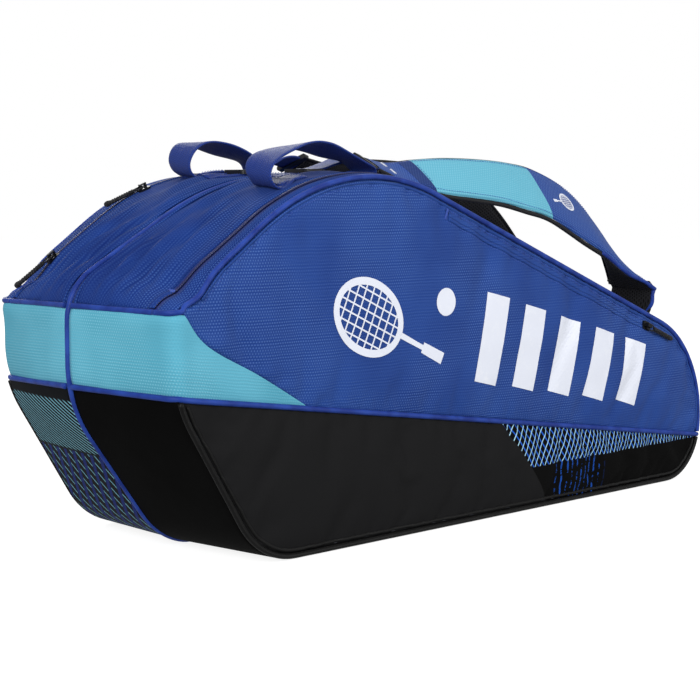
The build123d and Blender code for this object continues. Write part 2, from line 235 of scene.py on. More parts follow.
def tube(points, radius, sides=10, taper=True):
    """A round cord along points: vertices, faces and cloth coordinates. radius may vary along it."""
    points = np.asarray(points, float)
    radius = np.broadcast_to(np.asarray(radius, float), (len(points),)).copy()
    _, n, b = frames(points)
    run = run_of(points)
    angles = np.linspace(0, 2 * math.pi, sides, endpoint=False)
    verts, cloth = [], []
    for i, p in enumerate(points):
        for a in angles:
            verts.append(p + radius[i] * (math.cos(a) * n[i] + math.sin(a) * b[i]))
            cloth.append((run[i], a * radius[i]))
    faces = grid_faces(len(points), sides, close_cols=True)
    if taper:
        for end, order in ((0, -1), (len(points) - 1, 1)):
            tip = len(verts)
            verts.append(points[end] + (points[end] - points[end - order]) * 0.2)
            cloth.append((run[end], 0))
            ring = [end * sides + k for k in range(sides)]
            for k in range(sides):
                pair = (ring[k], ring[(k + 1) % sides])
                faces.append((tip, pair[1], pair[0]) if order < 0 else (tip, pair[0], pair[1]))
    return verts, faces, cloth


def webbing(points, across, width, thickness):
    """A flat strap with rounded edges along points. across is the direction of its width at each point."""
    points = np.asarray(points, float)
    tangents = unit(np.gradient(points, axis=0))
    across = unit(np.broadcast_to(np.asarray(across, float), points.shape))
    across = unit(across - tangents * np.sum(tangents * across, axis=1, keepdims=True))
    normal = np.cross(tangents, across)
    width = np.broadcast_to(np.asarray(width, float), (len(points),))
    half_t = thickness / 2
    under = [(-1, -0.35), (-0.97, -0.9), (-0.8, -1), (-0.4, -1), (0, -1), (0.4, -1), (0.8, -1), (0.97, -0.9),
             (1, -0.35)]
    profile = under + [(-a, -b) for a, b in under]
    run = run_of(points)
    verts, cloth = [], []
    for i, p in enumerate(points):
        for a, b in profile:
            verts.append(p + across[i] * a * width[i] / 2 + normal[i] * b * half_t)
            cloth.append((run[i], a * width[i] / 2))
    faces = grid_faces(len(points), len(profile), close_cols=True, flip=True)
    cols = len(profile)
    last = (len(points) - 1) * cols
    faces.append(tuple(range(cols)))
    faces.append(tuple(last + k for k in reversed(range(cols))))
    return verts, faces, cloth


def stitches(pile, points, normals, pitch=3.4, length=2.3, radius=0.32):
    """A row of short raised stitches along a line on a surface."""
    run = run_of(points)
    for s in np.arange(1.0, run[-1] - length, pitch):
        row = []
        for k, lift in ((0, -0.15), (0.5, 0.28), (1, -0.15)):
            at = s + k * length
            n = unit(read(at, run, normals))
            row.append(read(at, run, points) + n * lift)
        tangent = unit(row[2] - row[0])
        side_way = np.cross(tangent, n)
        verts = []
        for i, p in enumerate(row):
            r = radius * (0.6 if i != 1 else 1.0)
            for a in range(5):
                angle = 2 * math.pi * a / 5
                verts.append(p + side_way * math.cos(angle) * r + n * math.sin(angle) * r)
        faces = grid_faces(3, 5, close_cols=True) + [tuple(range(5))[::-1], tuple(range(10, 15))]
        pile.add(verts, faces)


def stitches_one_way(pile, points, normal):
    """A row of stitches on a surface that faces the same way all along."""
    stitches(pile, points, np.tile(normal, (len(points), 1)))


def bartack(pile, centre, along, across, length=9.0, width=2.4, step=0.8):
    """A dense block of thread."""
    along, across = unit(along), unit(across)
    normal = unit(np.cross(along, across))
    for i in range(int(length / step)):
        base = centre + along * (i * step - length / 2)
        half, sunk = across * width / 2, normal * 0.1
        path = [base - half - sunk, base + normal * 0.45, base + half - sunk]
        pile.add(*tube(spline(path, 6), 0.42, 6))


# ---- the bag's outline -----------------------------------------------------------------------------
def rounded(corners):
    """Points round a polygon with rounded corners, clockwise, as x from the origin and z."""
    n = len(corners)
    arcs = []
    for i, (x, z, r) in enumerate(corners):
        b = np.array((x, z), float)
        d_in = unit(b - np.array(corners[i - 1][:2], float))
        d_out = unit(np.array(corners[(i + 1) % n][:2], float) - b)
        turn = math.acos(float(np.clip(d_in @ d_out, -1, 1)))
        start = b - d_in * r * math.tan(turn / 2)
        centre = start + r * np.array((d_in[1], -d_in[0]))
        arm = start - centre
        points = []
        for k in range(CELLS[i][0] + 1):
            a = -turn * k / CELLS[i][0]
            points.append(centre + np.array((arm[0] * math.cos(a) - arm[1] * math.sin(a),
                                             arm[0] * math.sin(a) + arm[1] * math.cos(a))))
        arcs.append(np.array(points))
    line = []
    for i in range(n):
        line.extend(arcs[i])
        a, b = arcs[i][-1], arcs[(i + 1) % n][0]
        count = CELLS[i][1]
        line.extend(a + (b - a) * k / count for k in range(1, count))
    line = np.array(line)
    line[:, 0] -= MID_X
    return np.roll(line, CELLS[-1][1] // 2, axis=0)  # starts in the middle of the base


def above(x, z, level):
    """Distance above a tilted seam level."""
    return (np.asarray(z) - level + TILT * np.asarray(x)) / LEVEL


CENTRE = rounded(CENTRE_CORNERS)
PANEL = rounded(PANEL_CORNERS)
u, w = PANEL[:, 0] + MID_X, PANEL[:, 1].copy()
# The arch curls into the top of the end band.
PANEL[:, 1] -= 8.5 * np.exp(-((u - 38) / 14) ** 2) * smooth(w, 205, 224)
PANEL[:, 0] -= 3.5 * np.exp(-((w - 216) / 9) ** 2) * (u < 40)


def closed(line):
    """An outline with its first point repeated at its end."""
    return np.vstack([line, line[:1]])


def outward(line):
    """Outward direction at each point of a closed clockwise outline."""
    t = unit(np.roll(line, -1, axis=0) - np.roll(line, 1, axis=0))
    return np.stack([-t[:, 1], t[:, 0]], axis=1)


def at_depth(y, inset=0.0):
    """The bag's outline at a distance from the centre plane."""
    share = min(abs(y) / HALF_T, 1.0)
    line = (1 - share) * CENTRE + share * PANEL
    return line - inset * outward(line)


def crossings(line, level):
    """Where a closed outline crosses a seam level, at the wide end and at the nose."""
    loop = closed(line)
    a = above(loop[:, 0], loop[:, 1], level)
    found = []
    for i in range(len(loop) - 1):
        if a[i] * a[i + 1] < 0:
            t = a[i] / (a[i] - a[i + 1])
            found.append((i + t, loop[i] + t * (loop[i + 1] - loop[i])))
    found.sort(key=lambda item: item[1][0])
    return found[0], found[-1]


def part_of(line, level_start, level_end, start_side, end_side):
    """The stretch of an outline over the top, from one seam crossing to another."""
    start = crossings(line, level_start)[start_side]
    end = crossings(line, level_end)[end_side]
    loop = closed(line)
    inner = [i for i in range(len(loop)) if start[0] < i < end[0]]
    return np.vstack([start[1], loop[inner], end[1]])


def line_distance(points, line):
    """Distance of each (x, z) point from a polyline."""
    best = np.full(len(points), 1e9)
    for a, b in zip(line[:-1], line[1:]):
        d = b - a
        t = np.clip(((points - a) @ d) / max(d @ d, 1e-9), 0, 1)
        best = np.minimum(best, np.linalg.norm(points - a - t[:, None] * d, axis=1))
    return best


# ---- materials -------------------------------------------------------------------------------------
def srgb(r, g, b, a=1.0):
    return tuple(((c / 255 + 0.055) / 1.055) ** 2.4 if c > 10 else c / 255 / 12.92 for c in (r, g, b)) + (a,)


class Net:
    """Builds one material's nodes."""

    def __init__(self, name):
        self.material = bpy.data.materials.new(name)
        self.material.use_nodes = True
        self.tree = self.material.node_tree
        self.tree.nodes.clear()
        self.out = self.tree.nodes.new("ShaderNodeOutputMaterial")
        self.shader = self.tree.nodes.new("ShaderNodeBsdfPrincipled")
        self.tree.links.new(self.shader.outputs[0], self.out.inputs[0])

    def put(self, socket, value):
        if isinstance(value, bpy.types.NodeSocket):
            self.tree.links.new(value, socket)
        else:
            socket.default_value = value

    def op(self, kind, a, b=0.0, c=0.0):
        node = self.tree.nodes.new("ShaderNodeMath")
        node.operation = kind
        for socket, value in zip(node.inputs, (a, b, c)):
            self.put(socket, value)
        return node.outputs[0]

    def add(self, a, b):
        return self.op("ADD", a, b)

    def sub(self, a, b):
        return self.op("SUBTRACT", a, b)

    def mul(self, a, b):
        return self.op("MULTIPLY", a, b)

    def wave(self, value, period):
        return self.op("SINE", self.mul(value, 2 * math.pi / period))

    def cloth(self):
        node = self.tree.nodes.new("ShaderNodeAttribute")
        node.attribute_name = "cloth"
        split = self.tree.nodes.new("ShaderNodeSeparateXYZ")
        self.tree.links.new(node.outputs["Vector"], split.inputs[0])
        self.vector = node.outputs["Vector"]
        return split.outputs[0], split.outputs[1]

    def place(self):
        """Position in millimetres, on a piece with no cloth coordinates."""
        node = self.tree.nodes.new("ShaderNodeTexCoord")
        scale = self.tree.nodes.new("ShaderNodeVectorMath")
        scale.operation = "SCALE"
        scale.inputs["Scale"].default_value = 1 / MM
        self.tree.links.new(node.outputs["Object"], scale.inputs[0])
        self.vector = scale.outputs[0]
        split = self.tree.nodes.new("ShaderNodeSeparateXYZ")
        self.tree.links.new(self.vector, split.inputs[0])
        return split.outputs

    def noise(self, scale, detail=3.0, rough=0.55):
        node = self.tree.nodes.new("ShaderNodeTexNoise")
        self.tree.links.new(self.vector, node.inputs["Vector"])
        node.inputs["Scale"].default_value = scale
        node.inputs["Detail"].default_value = detail
        node.inputs["Roughness"].default_value = rough
        return node.outputs[0]

    def fit(self, value, lo, hi, out_lo=0.0, out_hi=1.0):
        node = self.tree.nodes.new("ShaderNodeMapRange")
        node.interpolation_type = "SMOOTHSTEP"
        for socket, v in zip(node.inputs, (value, lo, hi, out_lo, out_hi)):
            self.put(socket, v)
        return node.outputs[0]

    def mix(self, factor, a, b):
        node = self.tree.nodes.new("ShaderNodeMix")
        node.data_type = "RGBA"
        self.put(node.inputs[0], factor)
        self.put(node.inputs[6], a)
        self.put(node.inputs[7], b)
        return node.outputs[2]

    def stripes(self, value, period, duty):
        """1 on stripes, 0 between them."""
        wave = self.op("PINGPONG", value, period / 2)
        edge = period * duty / 2
        return self.fit(wave, edge + 0.18, edge - 0.18)

    def build(self, colour, rough, height=None, **fixed):
        self.put(self.shader.inputs["Base Color"], colour)
        self.put(self.shader.inputs["Roughness"], rough)
        for key, value in fixed.items():
            self.shader.inputs[key.replace("_", " ")].default_value = value
        if height is not None:
            bump = self.tree.nodes.new("ShaderNodeBump")
            bump.inputs["Strength"].default_value = 1.0
            bump.inputs["Distance"].default_value = MM
            self.tree.links.new(height, bump.inputs["Height"])
            self.tree.links.new(bump.outputs[0], self.shader.inputs["Normal"])
        return self.material


RIPSTOP_DOTS = (2.7, 2.5, 0.16, 0.36)  # pitches, and radii as shares of a pitch
FINE_GRAIN = (0.9, 4.0, 0.7)


def dots(net, u, v, pitch_u, pitch_v, lo, hi):
    """Raised dots in staggered rows."""
    row = net.op("FLOOR", net.op("DIVIDE", v, pitch_v))
    shift = net.op("FRACT", net.mul(row, 0.5))
    fu = net.sub(net.op("FRACT", net.add(net.op("DIVIDE", u, pitch_u), shift)), 0.5)
    fv = net.sub(net.op("FRACT", net.op("DIVIDE", v, pitch_v)), 0.5)
    r = net.op("SQRT", net.add(net.mul(fu, fu), net.mul(fv, fv)))
    return net.fit(r, hi, lo)


def weave(net, u, v, pitch):
    return net.mul(net.wave(u, pitch), net.wave(v, pitch))


def ripstop(name, dark, light, dot_light, rib_depth=0.05, dot_depth=0.10, rib_pitch=3.0, rough=0.66):
    """Polyester with small raised dots, fine wavy ribs and a plain weave."""
    net = Net(name)
    u, v = net.cloth()
    cloud = net.noise(0.012, 2.0)
    wander = net.mul(net.noise(0.05, 2.0), 3.0)
    dot = dots(net, u, v, *RIPSTOP_DOTS)
    dot_zone = net.fit(net.noise(0.008, 1.0), 0.40, 0.56)
    dot = net.mul(dot, net.add(net.mul(dot_zone, 0.75), 0.25))
    rib = net.wave(net.add(v, wander), rib_pitch)
    base = net.mix(net.fit(cloud, 0.3, 0.7), dark, light)
    base = net.mix(net.mul(dot, 0.36), base, dot_light)
    shade = net.add(net.mul(rib, 0.03), 0.03)
    base = net.mix(shade, base, dot_light)
    height = net.add(net.mul(dot, dot_depth), net.mul(rib, rib_depth))
    height = net.add(height, net.mul(weave(net, u, v, 0.9), 0.03))
    roughness = net.sub(rough, net.mul(dot, 0.10))
    return net.build(base, roughness, height, Sheen_Weight=0.03, Sheen_Roughness=0.45,
                     Specular_IOR_Level=0.12)


def coated(name, dark, light, grain=0.05, rough=0.76):
    """Matt coated cloth with a fine grain."""
    net = Net(name)
    u, v = net.cloth()
    cloud = net.noise(0.015, 3.0)
    fine = net.noise(*FINE_GRAIN)
    colour = net.mix(net.fit(cloud, 0.25, 0.75), dark, light)
    height = net.add(net.mul(fine, grain), net.mul(weave(net, u, v, 1.1), 0.025))
    roughness = net.add(net.mul(fine, 0.12), rough - 0.06)
    return net.build(colour, roughness, height, Specular_IOR_Level=0.05)


def lattice(name, black, charcoal, blue, cyan):
    """The lower side panel: charcoal, a slanted seam, then black cloth with a printed lattice over bars."""
    net = Net(name)
    u, v = net.cloth()  # x and z
    fine = net.noise(*FINE_GRAIN)
    right = net.fit(net.sub(u, net.mul(net.sub(89.0, v), 0.86)), 39.6, 40.4)
    upper = net.fit(v, 43.0, 44.0)
    ahead = net.sub(u, 45.0)
    dense = net.add(u, net.mul(net.mul(ahead, ahead), 0.0013))  # finer towards the nose
    falling = net.stripes(net.add(net.mul(dense, 0.79), net.mul(v, 0.62)), 7.2, 0.20)
    rising = net.stripes(net.sub(net.mul(dense, 0.80), net.mul(v, 0.60)), 7.2, 0.15)
    bars = net.stripes(net.add(u, net.mul(net.noise(0.09, 2.0), 3.0)), 7.8, 0.24)
    gaps = net.fit(net.noise(0.11, 3.0, 0.8), 0.49, 0.53)
    lower = net.mul(bars, gaps)
    window = net.mul(net.fit(u, 116.0, 126.0), net.fit(u, 204.0, 190.0))
    lower = net.mul(lower, window)
    colour = net.mix(falling, black, blue)
    colour = net.mix(rising, colour, cyan)
    colour = net.mix(upper, net.mix(net.mul(lower, 0.6), black, blue), colour)
    colour = net.mix(right, charcoal, colour)
    height = net.add(net.mul(fine, 0.06), net.mul(weave(net, u, v, 1.1), 0.03))
    height = net.add(height, net.mul(right, -0.25))
    return net.build(colour, net.add(net.mul(fine, 0.1), 0.64), height,
                     Specular_IOR_Level=0.06)


def hatched(name, black, blue, cyan):
    """The rear base at the wide end: fine slanted lines over stripes with short dashes, on black."""
    net = Net(name)
    x, y, z = net.place()
    fine = net.noise(*FINE_GRAIN)
    end = net.fit(x, -262.0, -266.0)
    slant = net.sub(z, net.mul(y, 0.57))
    lines = net.stripes(slant, 4.6, 0.30)
    top = net.mul(net.fit(z, 88.0, 90.0), net.fit(z, 139.0, 137.0))
    lower = net.mul(net.fit(z, 88.0, 86.0), net.fit(z, 4.0, 8.0))
    upright = net.add(y, net.mul(z, 0.66))
    stripes = net.stripes(upright, 15.5, 0.34)
    dash = net.stripes(net.sub(z, net.mul(y, 2.4)), 26.0, 0.17)
    between = net.stripes(net.add(upright, 7.75), 15.5, 0.60)
    colour = net.mix(net.mul(net.mul(dash, between), 0.85), black, cyan)
    colour = net.mix(stripes, colour, blue)
    colour = net.mix(lower, black, colour)
    colour = net.mix(net.mul(top, lines), colour, cyan)
    colour = net.mix(end, black, colour)
    return net.build(colour, net.add(net.mul(fine, 0.1), 0.52),
                     net.mul(fine, 0.08), Specular_IOR_Level=0.08)


def bias_tape(name, dark, light, rough=0.42):
    """Welt covered in cloth cut on the bias."""
    net = Net(name)
    u, v = net.cloth()
    twill = net.stripes(net.add(u, v), 1.3, 0.5)
    cloud = net.noise(0.05, 2.0)
    colour = net.mix(net.fit(cloud, 0.3, 0.7), dark, light)
    colour = net.mix(net.mul(twill, 0.18), colour, light)
    height = net.add(net.mul(twill, 0.06), net.mul(net.noise(0.12, 2.0), 0.25))
    return net.build(colour, rough, height, Sheen_Weight=0.02, Specular_IOR_Level=0.18)


def web(name, dark, light, pitch=2.0, rough=0.5):
    """Woven webbing with a herringbone rib."""
    net = Net(name)
    u, v = net.cloth()
    fold = net.op("PINGPONG", v, 4.0)
    rib = net.wave(net.add(u, fold), pitch)
    rib01 = net.add(net.mul(rib, 0.5), 0.5)
    colour = net.mix(rib01, dark, light)
    colour = net.mix(net.mul(net.noise(0.02, 2.0), 0.3), colour, dark)
    edge = net.wave(v, 1.6)
    height = net.add(net.mul(rib01, 0.22), net.mul(edge, 0.04))
    return net.build(colour, rough, height, Sheen_Weight=0.04, Specular_IOR_Level=0.22)


def mesh_cloth(name, dark, light):
    """Open air mesh on the backs of the straps."""
    net = Net(name)
    u, v = net.cloth()
    hole = dots(net, u, v, 3.4, 3.0, 0.18, 0.40)
    colour = net.mix(hole, light, dark)
    height = net.sub(net.mul(net.noise(0.8, 3.0), 0.1), net.mul(hole, 0.5))
    return net.build(colour, 0.8, height, Sheen_Weight=0.04, Specular_IOR_Level=0.12)


def plastic(name, colour, rough=0.36, metallic=0.0):
    net = Net(name)
    net.place()
    grain = net.noise(1.6, 3.0, 0.6)
    scratch = net.noise(0.12, 5.0, 0.8)
    tint = net.mix(net.mul(net.fit(scratch, 0.5, 0.8), 0.35), colour,
                   tuple(min(1.0, c * 1.8 + 0.01) for c in colour[:3]) + (1.0,))
    rough_map = net.add(net.mul(scratch, 0.16), rough - 0.08)
    return net.build(tint, rough_map, net.mul(grain, 0.02), Metallic=metallic, Specular_IOR_Level=0.5)


def strap_face(name, blue, blue_light, cyan, cyan_light, border):
    """Strap cloth: blue with a dark hem at its narrow end, turquoise up to a slanted border, then blue."""
    net = Net(name)
    u, v = net.cloth()
    dot = dots(net, u, v, *RIPSTOP_DOTS)
    second = net.fit(net.sub(u, net.mul(v, 0.25)), border - 0.4, border + 0.4)
    first = net.fit(u, 62.4, 61.6)
    hem = net.mul(net.fit(u, 45.6, 46.4), first)
    blue_zone = net.op("MAXIMUM", first, second)
    rib = net.wave(v, 2.4)
    a = net.mix(net.mul(dot, 0.5), cyan, cyan_light)
    b = net.mix(net.mul(dot, 0.5), blue, blue_light)
    colour = net.mix(net.mul(hem, 0.55), net.mix(blue_zone, a, b), srgb(8, 22, 66))
    height = net.add(net.mul(dot, 0.10), net.mul(rib, 0.06))
    height = net.add(height, net.mul(hem, 0.5))
    return net.build(colour, 0.52, height, Sheen_Weight=0.04, Specular_IOR_Level=0.14)


BLUE_DARK, BLUE, BLUE_LIGHT = srgb(23, 55, 126), srgb(31, 66, 140), srgb(102, 138, 204)
CYAN_DARK, CYAN, CYAN_LIGHT = srgb(80, 160, 184), srgb(94, 174, 198), srgb(150, 208, 224)
BLACK, BLACK_LIGHT, CHARCOAL = srgb(4, 4, 4), srgb(7, 7, 7), srgb(26, 26, 27)

mat_blue = ripstop("blue_ripstop", BLUE_DARK, BLUE, BLUE_LIGHT)
# The roof's copy of the blue ripstop has darker colours. These are painted shade on the roof and on the
# pieces sewn to it. It is also rougher.
mat_roof_painted_shade = ripstop("blue_ripstop_roof_painted_shade", srgb(11, 38, 106), srgb(19, 52, 126), srgb(92, 132, 200),
                   dot_depth=0.12, rough=0.86)
mat_cyan = ripstop("turquoise_ripstop", CYAN_DARK, CYAN, CYAN_LIGHT, rib_depth=0.05, rib_pitch=2.6)
mat_black = coated("black_coated_cloth", BLACK, BLACK_LIGHT)
mat_lattice = lattice("lower_panel_cloth", BLACK, CHARCOAL, srgb(34, 92, 196), srgb(168, 212, 234))
mat_hatched = hatched("hatched_cloth", srgb(5, 8, 14), srgb(22, 40, 108), srgb(122, 182, 200))
mat_lining = coated("lining_cloth", srgb(52, 54, 60), srgb(64, 66, 72), grain=0.03)
mat_piping = bias_tape("blue_piping", srgb(20, 44, 122), srgb(36, 68, 156))
mat_black_piping = bias_tape("black_piping", srgb(4, 4, 4), srgb(9, 9, 9))
mat_web = web("blue_webbing", srgb(14, 34, 100), srgb(34, 66, 150))
mat_black_web = web("black_webbing", srgb(12, 12, 14), srgb(34, 34, 38))
mat_tape = web("zip_tape", srgb(20, 34, 104), srgb(40, 60, 140), pitch=1.2)
mat_coil = plastic("zip_coil", srgb(30, 36, 84), 0.4)
mat_metal = plastic("slider_metal", srgb(40, 41, 44), 0.3, 0.8)
mat_plastic = plastic("buckle_plastic", srgb(22, 22, 24), 0.34)
mat_cord = web("pull_cord", srgb(14, 14, 16), srgb(40, 40, 44), pitch=3.0)
mat_strap = strap_face("strap_cloth", BLUE, BLUE_LIGHT, CYAN, CYAN_LIGHT, 222.0)
mat_mesh = mesh_cloth("strap_mesh", srgb(6, 6, 7), srgb(34, 34, 37))
mat_print = plastic("white_print", srgb(228, 232, 244), 0.5)
mat_thread = plastic("thread", srgb(50, 80, 165), 0.5)
mat_white_thread = plastic("white_thread", srgb(210, 214, 222), 0.5)
mat_board = plastic("base_board_sheet", srgb(30, 31, 33), 0.5)


# ---- walls that wrap round each compartment --------------------------------------------------------
ROOF_PLEATS = {  # start and end as (distance up from the end band, distance from the centre), width, height
    FRONT: [((0, 14), (112, 8), 4.5, 1.6), ((2, 34), (96, 24), 5.0, 2.6), ((0, 50), (150, 36), 5.0, 2.4),
            ((6, 66), (88, 62), 4.5, 2.4), ((2, 80), (170, 66), 5.0, 2.2), ((60, 50), (186, 54), 6.0, 1.6),
            ((120, 22), (245, 34), 6.5, 1.6), ((210, 70), (330, 62), 8.0, 1.2),
            ((420, 30), (560, 36), 9.0, 0.8)],
    REAR: [((0, 18), (124, 8), 4.5, 2.6), ((2, 36), (150, 26), 5.0, 3.0), ((4, 54), (110, 50), 4.5, 2.6),
           ((0, 70), (160, 62), 5.0, 2.6), ((10, 86), (130, 86), 4.5, 2.0), ((100, 14), (230, 30), 6.0, 1.8),
           ((160, 50), (280, 66), 7.0, 1.5), ((300, 60), (400, 50), 8.0, 1.0)],
}


PLEAT_SPREAD, PLEAT_RISE = 1.1, 2.05


def ridges(points, pleats):
    """Height of all the pleats at (run, depth) points."""
    total = np.zeros(len(points))
    for start, end, width, height in pleats:
        width, height = width * PLEAT_SPREAD, height * PLEAT_RISE
        a, d = np.array(start, float), np.array(end, float) - np.array(start, float)
        t = ((points - a) @ d) / (d @ d)
        inside = np.clip(t, 0, 1)
        away = np.linalg.norm(points - a - inside[:, None] * d, axis=1)
        body = np.exp(-((away / width) ** 2)) - 0.45 * np.exp(-(((away - 1.9 * width) / width) ** 2))
        total += height * body * smooth(t, -0.05, 0.25) * smooth(t, 1.05, 0.6)
    return total


NO_PLEATS = -99.0  # a run that no pleat reaches


def wall_rise(side, x, y, z, run=NO_PLEATS):
    """How far the padded wall stands out from its plain shape, in millimetres."""
    y, run = np.broadcast_to(y, len(x)), np.broadcast_to(run, len(x))
    depth = np.abs(y)
    waist, fold = above(x, z, WAIST_Z), above(x, z, FOLD_Z)
    crown = np.sin(np.pi * np.clip((depth - 2.5) / 115.5, 0, 1)) ** 0.7
    level = 2.4 * smooth(z, 14, 70)
    rise = level * crown
    rise -= 1.5 * np.exp(-np.abs(waist) / 4.0) + 1.2 * np.exp(-np.abs(fold + 3.5) / 3.5) * (depth < 100)
    points = np.stack([x, y, z], axis=1)
    rise += 0.55 * wobble(points, 46.0, 3.1 + side) * smooth(z, 14, 60) * crown
    rise += 0.22 * wobble(points, 13.0, 7.7 + side) * smooth(z, 14, 60) * crown
    roof = smooth(fold, 0.0, 12.0)
    rise += ridges(np.stack([run, depth], axis=1), ROOF_PLEATS[side]) * roof * smooth(depth, 94, 84)
    return rise


DEPTHS = np.concatenate([np.linspace(2.5, ZIP_IN, 20), [97, 99, 101],
                         np.linspace(ZIP_OUT, HALF_T, 5), [119.8]])


# Distance round the wall from the top of its end band, at each point of the closed outline.
WALL_RUN = run_of(closed(at_depth(60)))
WALL_RUN -= np.interp(crossings(at_depth(60), FOLD_Z)[0][0], np.arange(len(WALL_RUN)), WALL_RUN)


def wall_mesh(side, inset=0.0, rise=True):
    """The whole wrap-around wall as a bmesh, with run and depth kept as cloth coordinates."""
    rows, cloth, normals = [], [], []
    for y in DEPTHS:
        line = at_depth(y, inset + (1.6 if y > HALF_T else 0))
        out = closed(outward(line))
        loop = closed(line)
        rows.append(stood(loop, side * y))
        normals.append(stood(out, 0.0))
        cloth.append(np.stack([WALL_RUN, np.full(len(loop), y)], axis=1))
    cols = rows[0].shape[0]
    verts, normals, cloth = np.vstack(rows), np.vstack(normals), np.vstack(cloth)
    if rise:
        lift = wall_rise(side, verts[:, 0], verts[:, 1], verts[:, 2], cloth[:, 0])
        verts = verts + normals * lift[:, None]
        verts[:, 2] = np.maximum(verts[:, 2], 0.0)
    bm = bmesh.new()
    layer = bm.verts.layers.float_vector.new("cloth")
    made = []
    for p, c in zip(verts, cloth):
        v = bm.verts.new(p)
        v[layer] = (c[0], c[1], 0)
        made.append(v)
    for f in grid_faces(len(DEPTHS), cols, flip=side < 0):
        bm.faces.new([made[i] for i in f])
    return bm


def seam_cut(bm, level):
    """Cuts new edges along a tilted seam level."""
    everything = bm.verts[:] + bm.edges[:] + bm.faces[:]
    bmesh.ops.bisect_plane(bm, geom=everything, dist=1e-4, plane_co=(0, 0, level), plane_no=(TILT, 0, 1))


def take(bm, name, materials, keep, slot_of=None):
    """A new object from the faces whose middle passes a test."""
    layer = bm.verts.layers.float_vector.get("cloth")
    chosen, index, slots = [], {}, []
    for f in bm.faces:
        c = f.calc_center_median()
        if keep(c):
            chosen.append(list(f.verts))
            slots.append(slot_of(c) if slot_of else 0)
    verts, cloth = [], []
    for f in chosen:
        for v in f:
            if v not in index:
                index[v] = len(verts)
                verts.append(tuple(v.co))
                cloth.append(tuple(v[layer])[:2])
    faces = [[index[v] for v in f] for f in chosen]
    return make(name, verts, faces, materials, cloth, slots)


def level_of(c, level):
    """Distance of one point above a tilted seam level."""
    return float(above(c[0], c[2], level))


def blend(obj):
    """Bakes a piece's placement into its mesh."""
    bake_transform(obj)


def flap_blend(obj):
    """Bakes a piece's placement into its mesh, as blend does."""
    blend(obj)


def nudge_zip(obj):
    """The front zip runs close to the side panel at its wide end, and in its own place from the crown on."""
    for v in obj.data.vertices:
        x, depth = v.co.x / MM, -v.co.y / MM
        past = 1.0 if depth < ZIP_OUT else smooth(depth, HALF_T, ZIP_OUT)
        share = float(smooth(depth, 84, ZIP_IN) * past)
        share *= float(smooth(above(x, v.co.z / MM, FOLD_Z), 0, 58))
        v.co.y -= 8.5 * share * float(smooth(x, -40, -150)) * MM


TUCK_Z = FOLD_Z - 16  # the strip beside the zip runs down to here, under the bands


def is_base(c):
    return level_of(c, WAIST_Z) < 0


def is_nose_band(c):
    beside_strip = level_of(c, FOLD_Z) < 0 and abs(c[1]) < ZIP_OUT
    return c[0] > 0 and level_of(c, WAIST_Z) > 0 and (level_of(c, TUCK_Z) < 0 or beside_strip)


def is_roof(c):
    return level_of(c, FOLD_Z) > 0 and abs(c[1]) < ZIP_IN


def is_flap_edge(c):
    return level_of(c, TUCK_Z) > 0 and abs(c[1]) > ZIP_OUT


for side, name in SIDES:
    bm = wall_mesh(side)
    for level in (WAIST_Z, FOLD_Z, TUCK_Z):
        seam_cut(bm, level)
    base_look = mat_hatched if side == REAR else mat_black
    for part, test, look, slot in (("base_gusset", is_base, base_look, "black_fabric"),
                                   ("nose_band", is_nose_band, mat_blue, "blue_fabric"),
                                   # The roof takes the darker roof ripstop, whose colours are painted shade.
                                   ("roof", is_roof, mat_roof_painted_shade, "blue_fabric")):
        obj = take(bm, f"{name}_{part}_cloth", [look, mat_lining], test)
        thicken(obj, 3.2).modifiers[0].material_offset = 1
        finish_piece(obj, "bag", slot, f"{name}_{part}")
        if part == "roof" and side == FRONT:
            nudge_zip(obj)
    # The ends of the strip between the zip and the side panel run in under the bands.
    for v in bm.verts:
        below = -float(above(v.co.x, v.co.z, FOLD_Z))
        if below > 0 and abs(v.co.y) > 90:
            tuck = float(smooth(below, 0, 4))
            v.co.x += (1.8 if v.co.x < 0 else -1.8) * tuck
            v.co.y *= 1 - 0.022 * tuck
    edge = take(bm, f"{name}_flap_edge_cloth", [mat_roof_painted_shade, mat_lining], is_flap_edge)
    thicken(edge, 2.6).modifiers[0].material_offset = 1
    if side == FRONT:
        nudge_zip(edge)
    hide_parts(f"{name}_flap_edge")
    flap_blend(edge)
    bm.free()
    # Inner lining of the lower walls.
    inner = wall_mesh(side, inset=4.6, rise=False)
    seam_cut(inner, FOLD_Z - 1)
    lining = take(inner, f"{name}_lining_cloth", mat_lining, lambda c: level_of(c, FOLD_Z - 1) < 0)
    thicken(lining, 0.8)
    finish_piece(lining, "bag", "lining_fabric", f"{name}_lining")
    inner.free()


# ---- side panels -----------------------------------------------------------------------------------
RIM = PANEL - 4.2 * outward(PANEL)  # edge of the side panel, inside its piping
RIM_CLOSED = closed(RIM)
WEDGE_TOP = crossings(RIM, FOLD_Z)[0][1]
WEDGE_FOOT = np.array((168 - MID_X, WAIST_Z - TILT * (168 - MID_X)))
WEDGE_EDGE = spline([WEDGE_FOOT, (106 - MID_X, 162.5), (50 - MID_X, 190.5), WEDGE_TOP], 40)


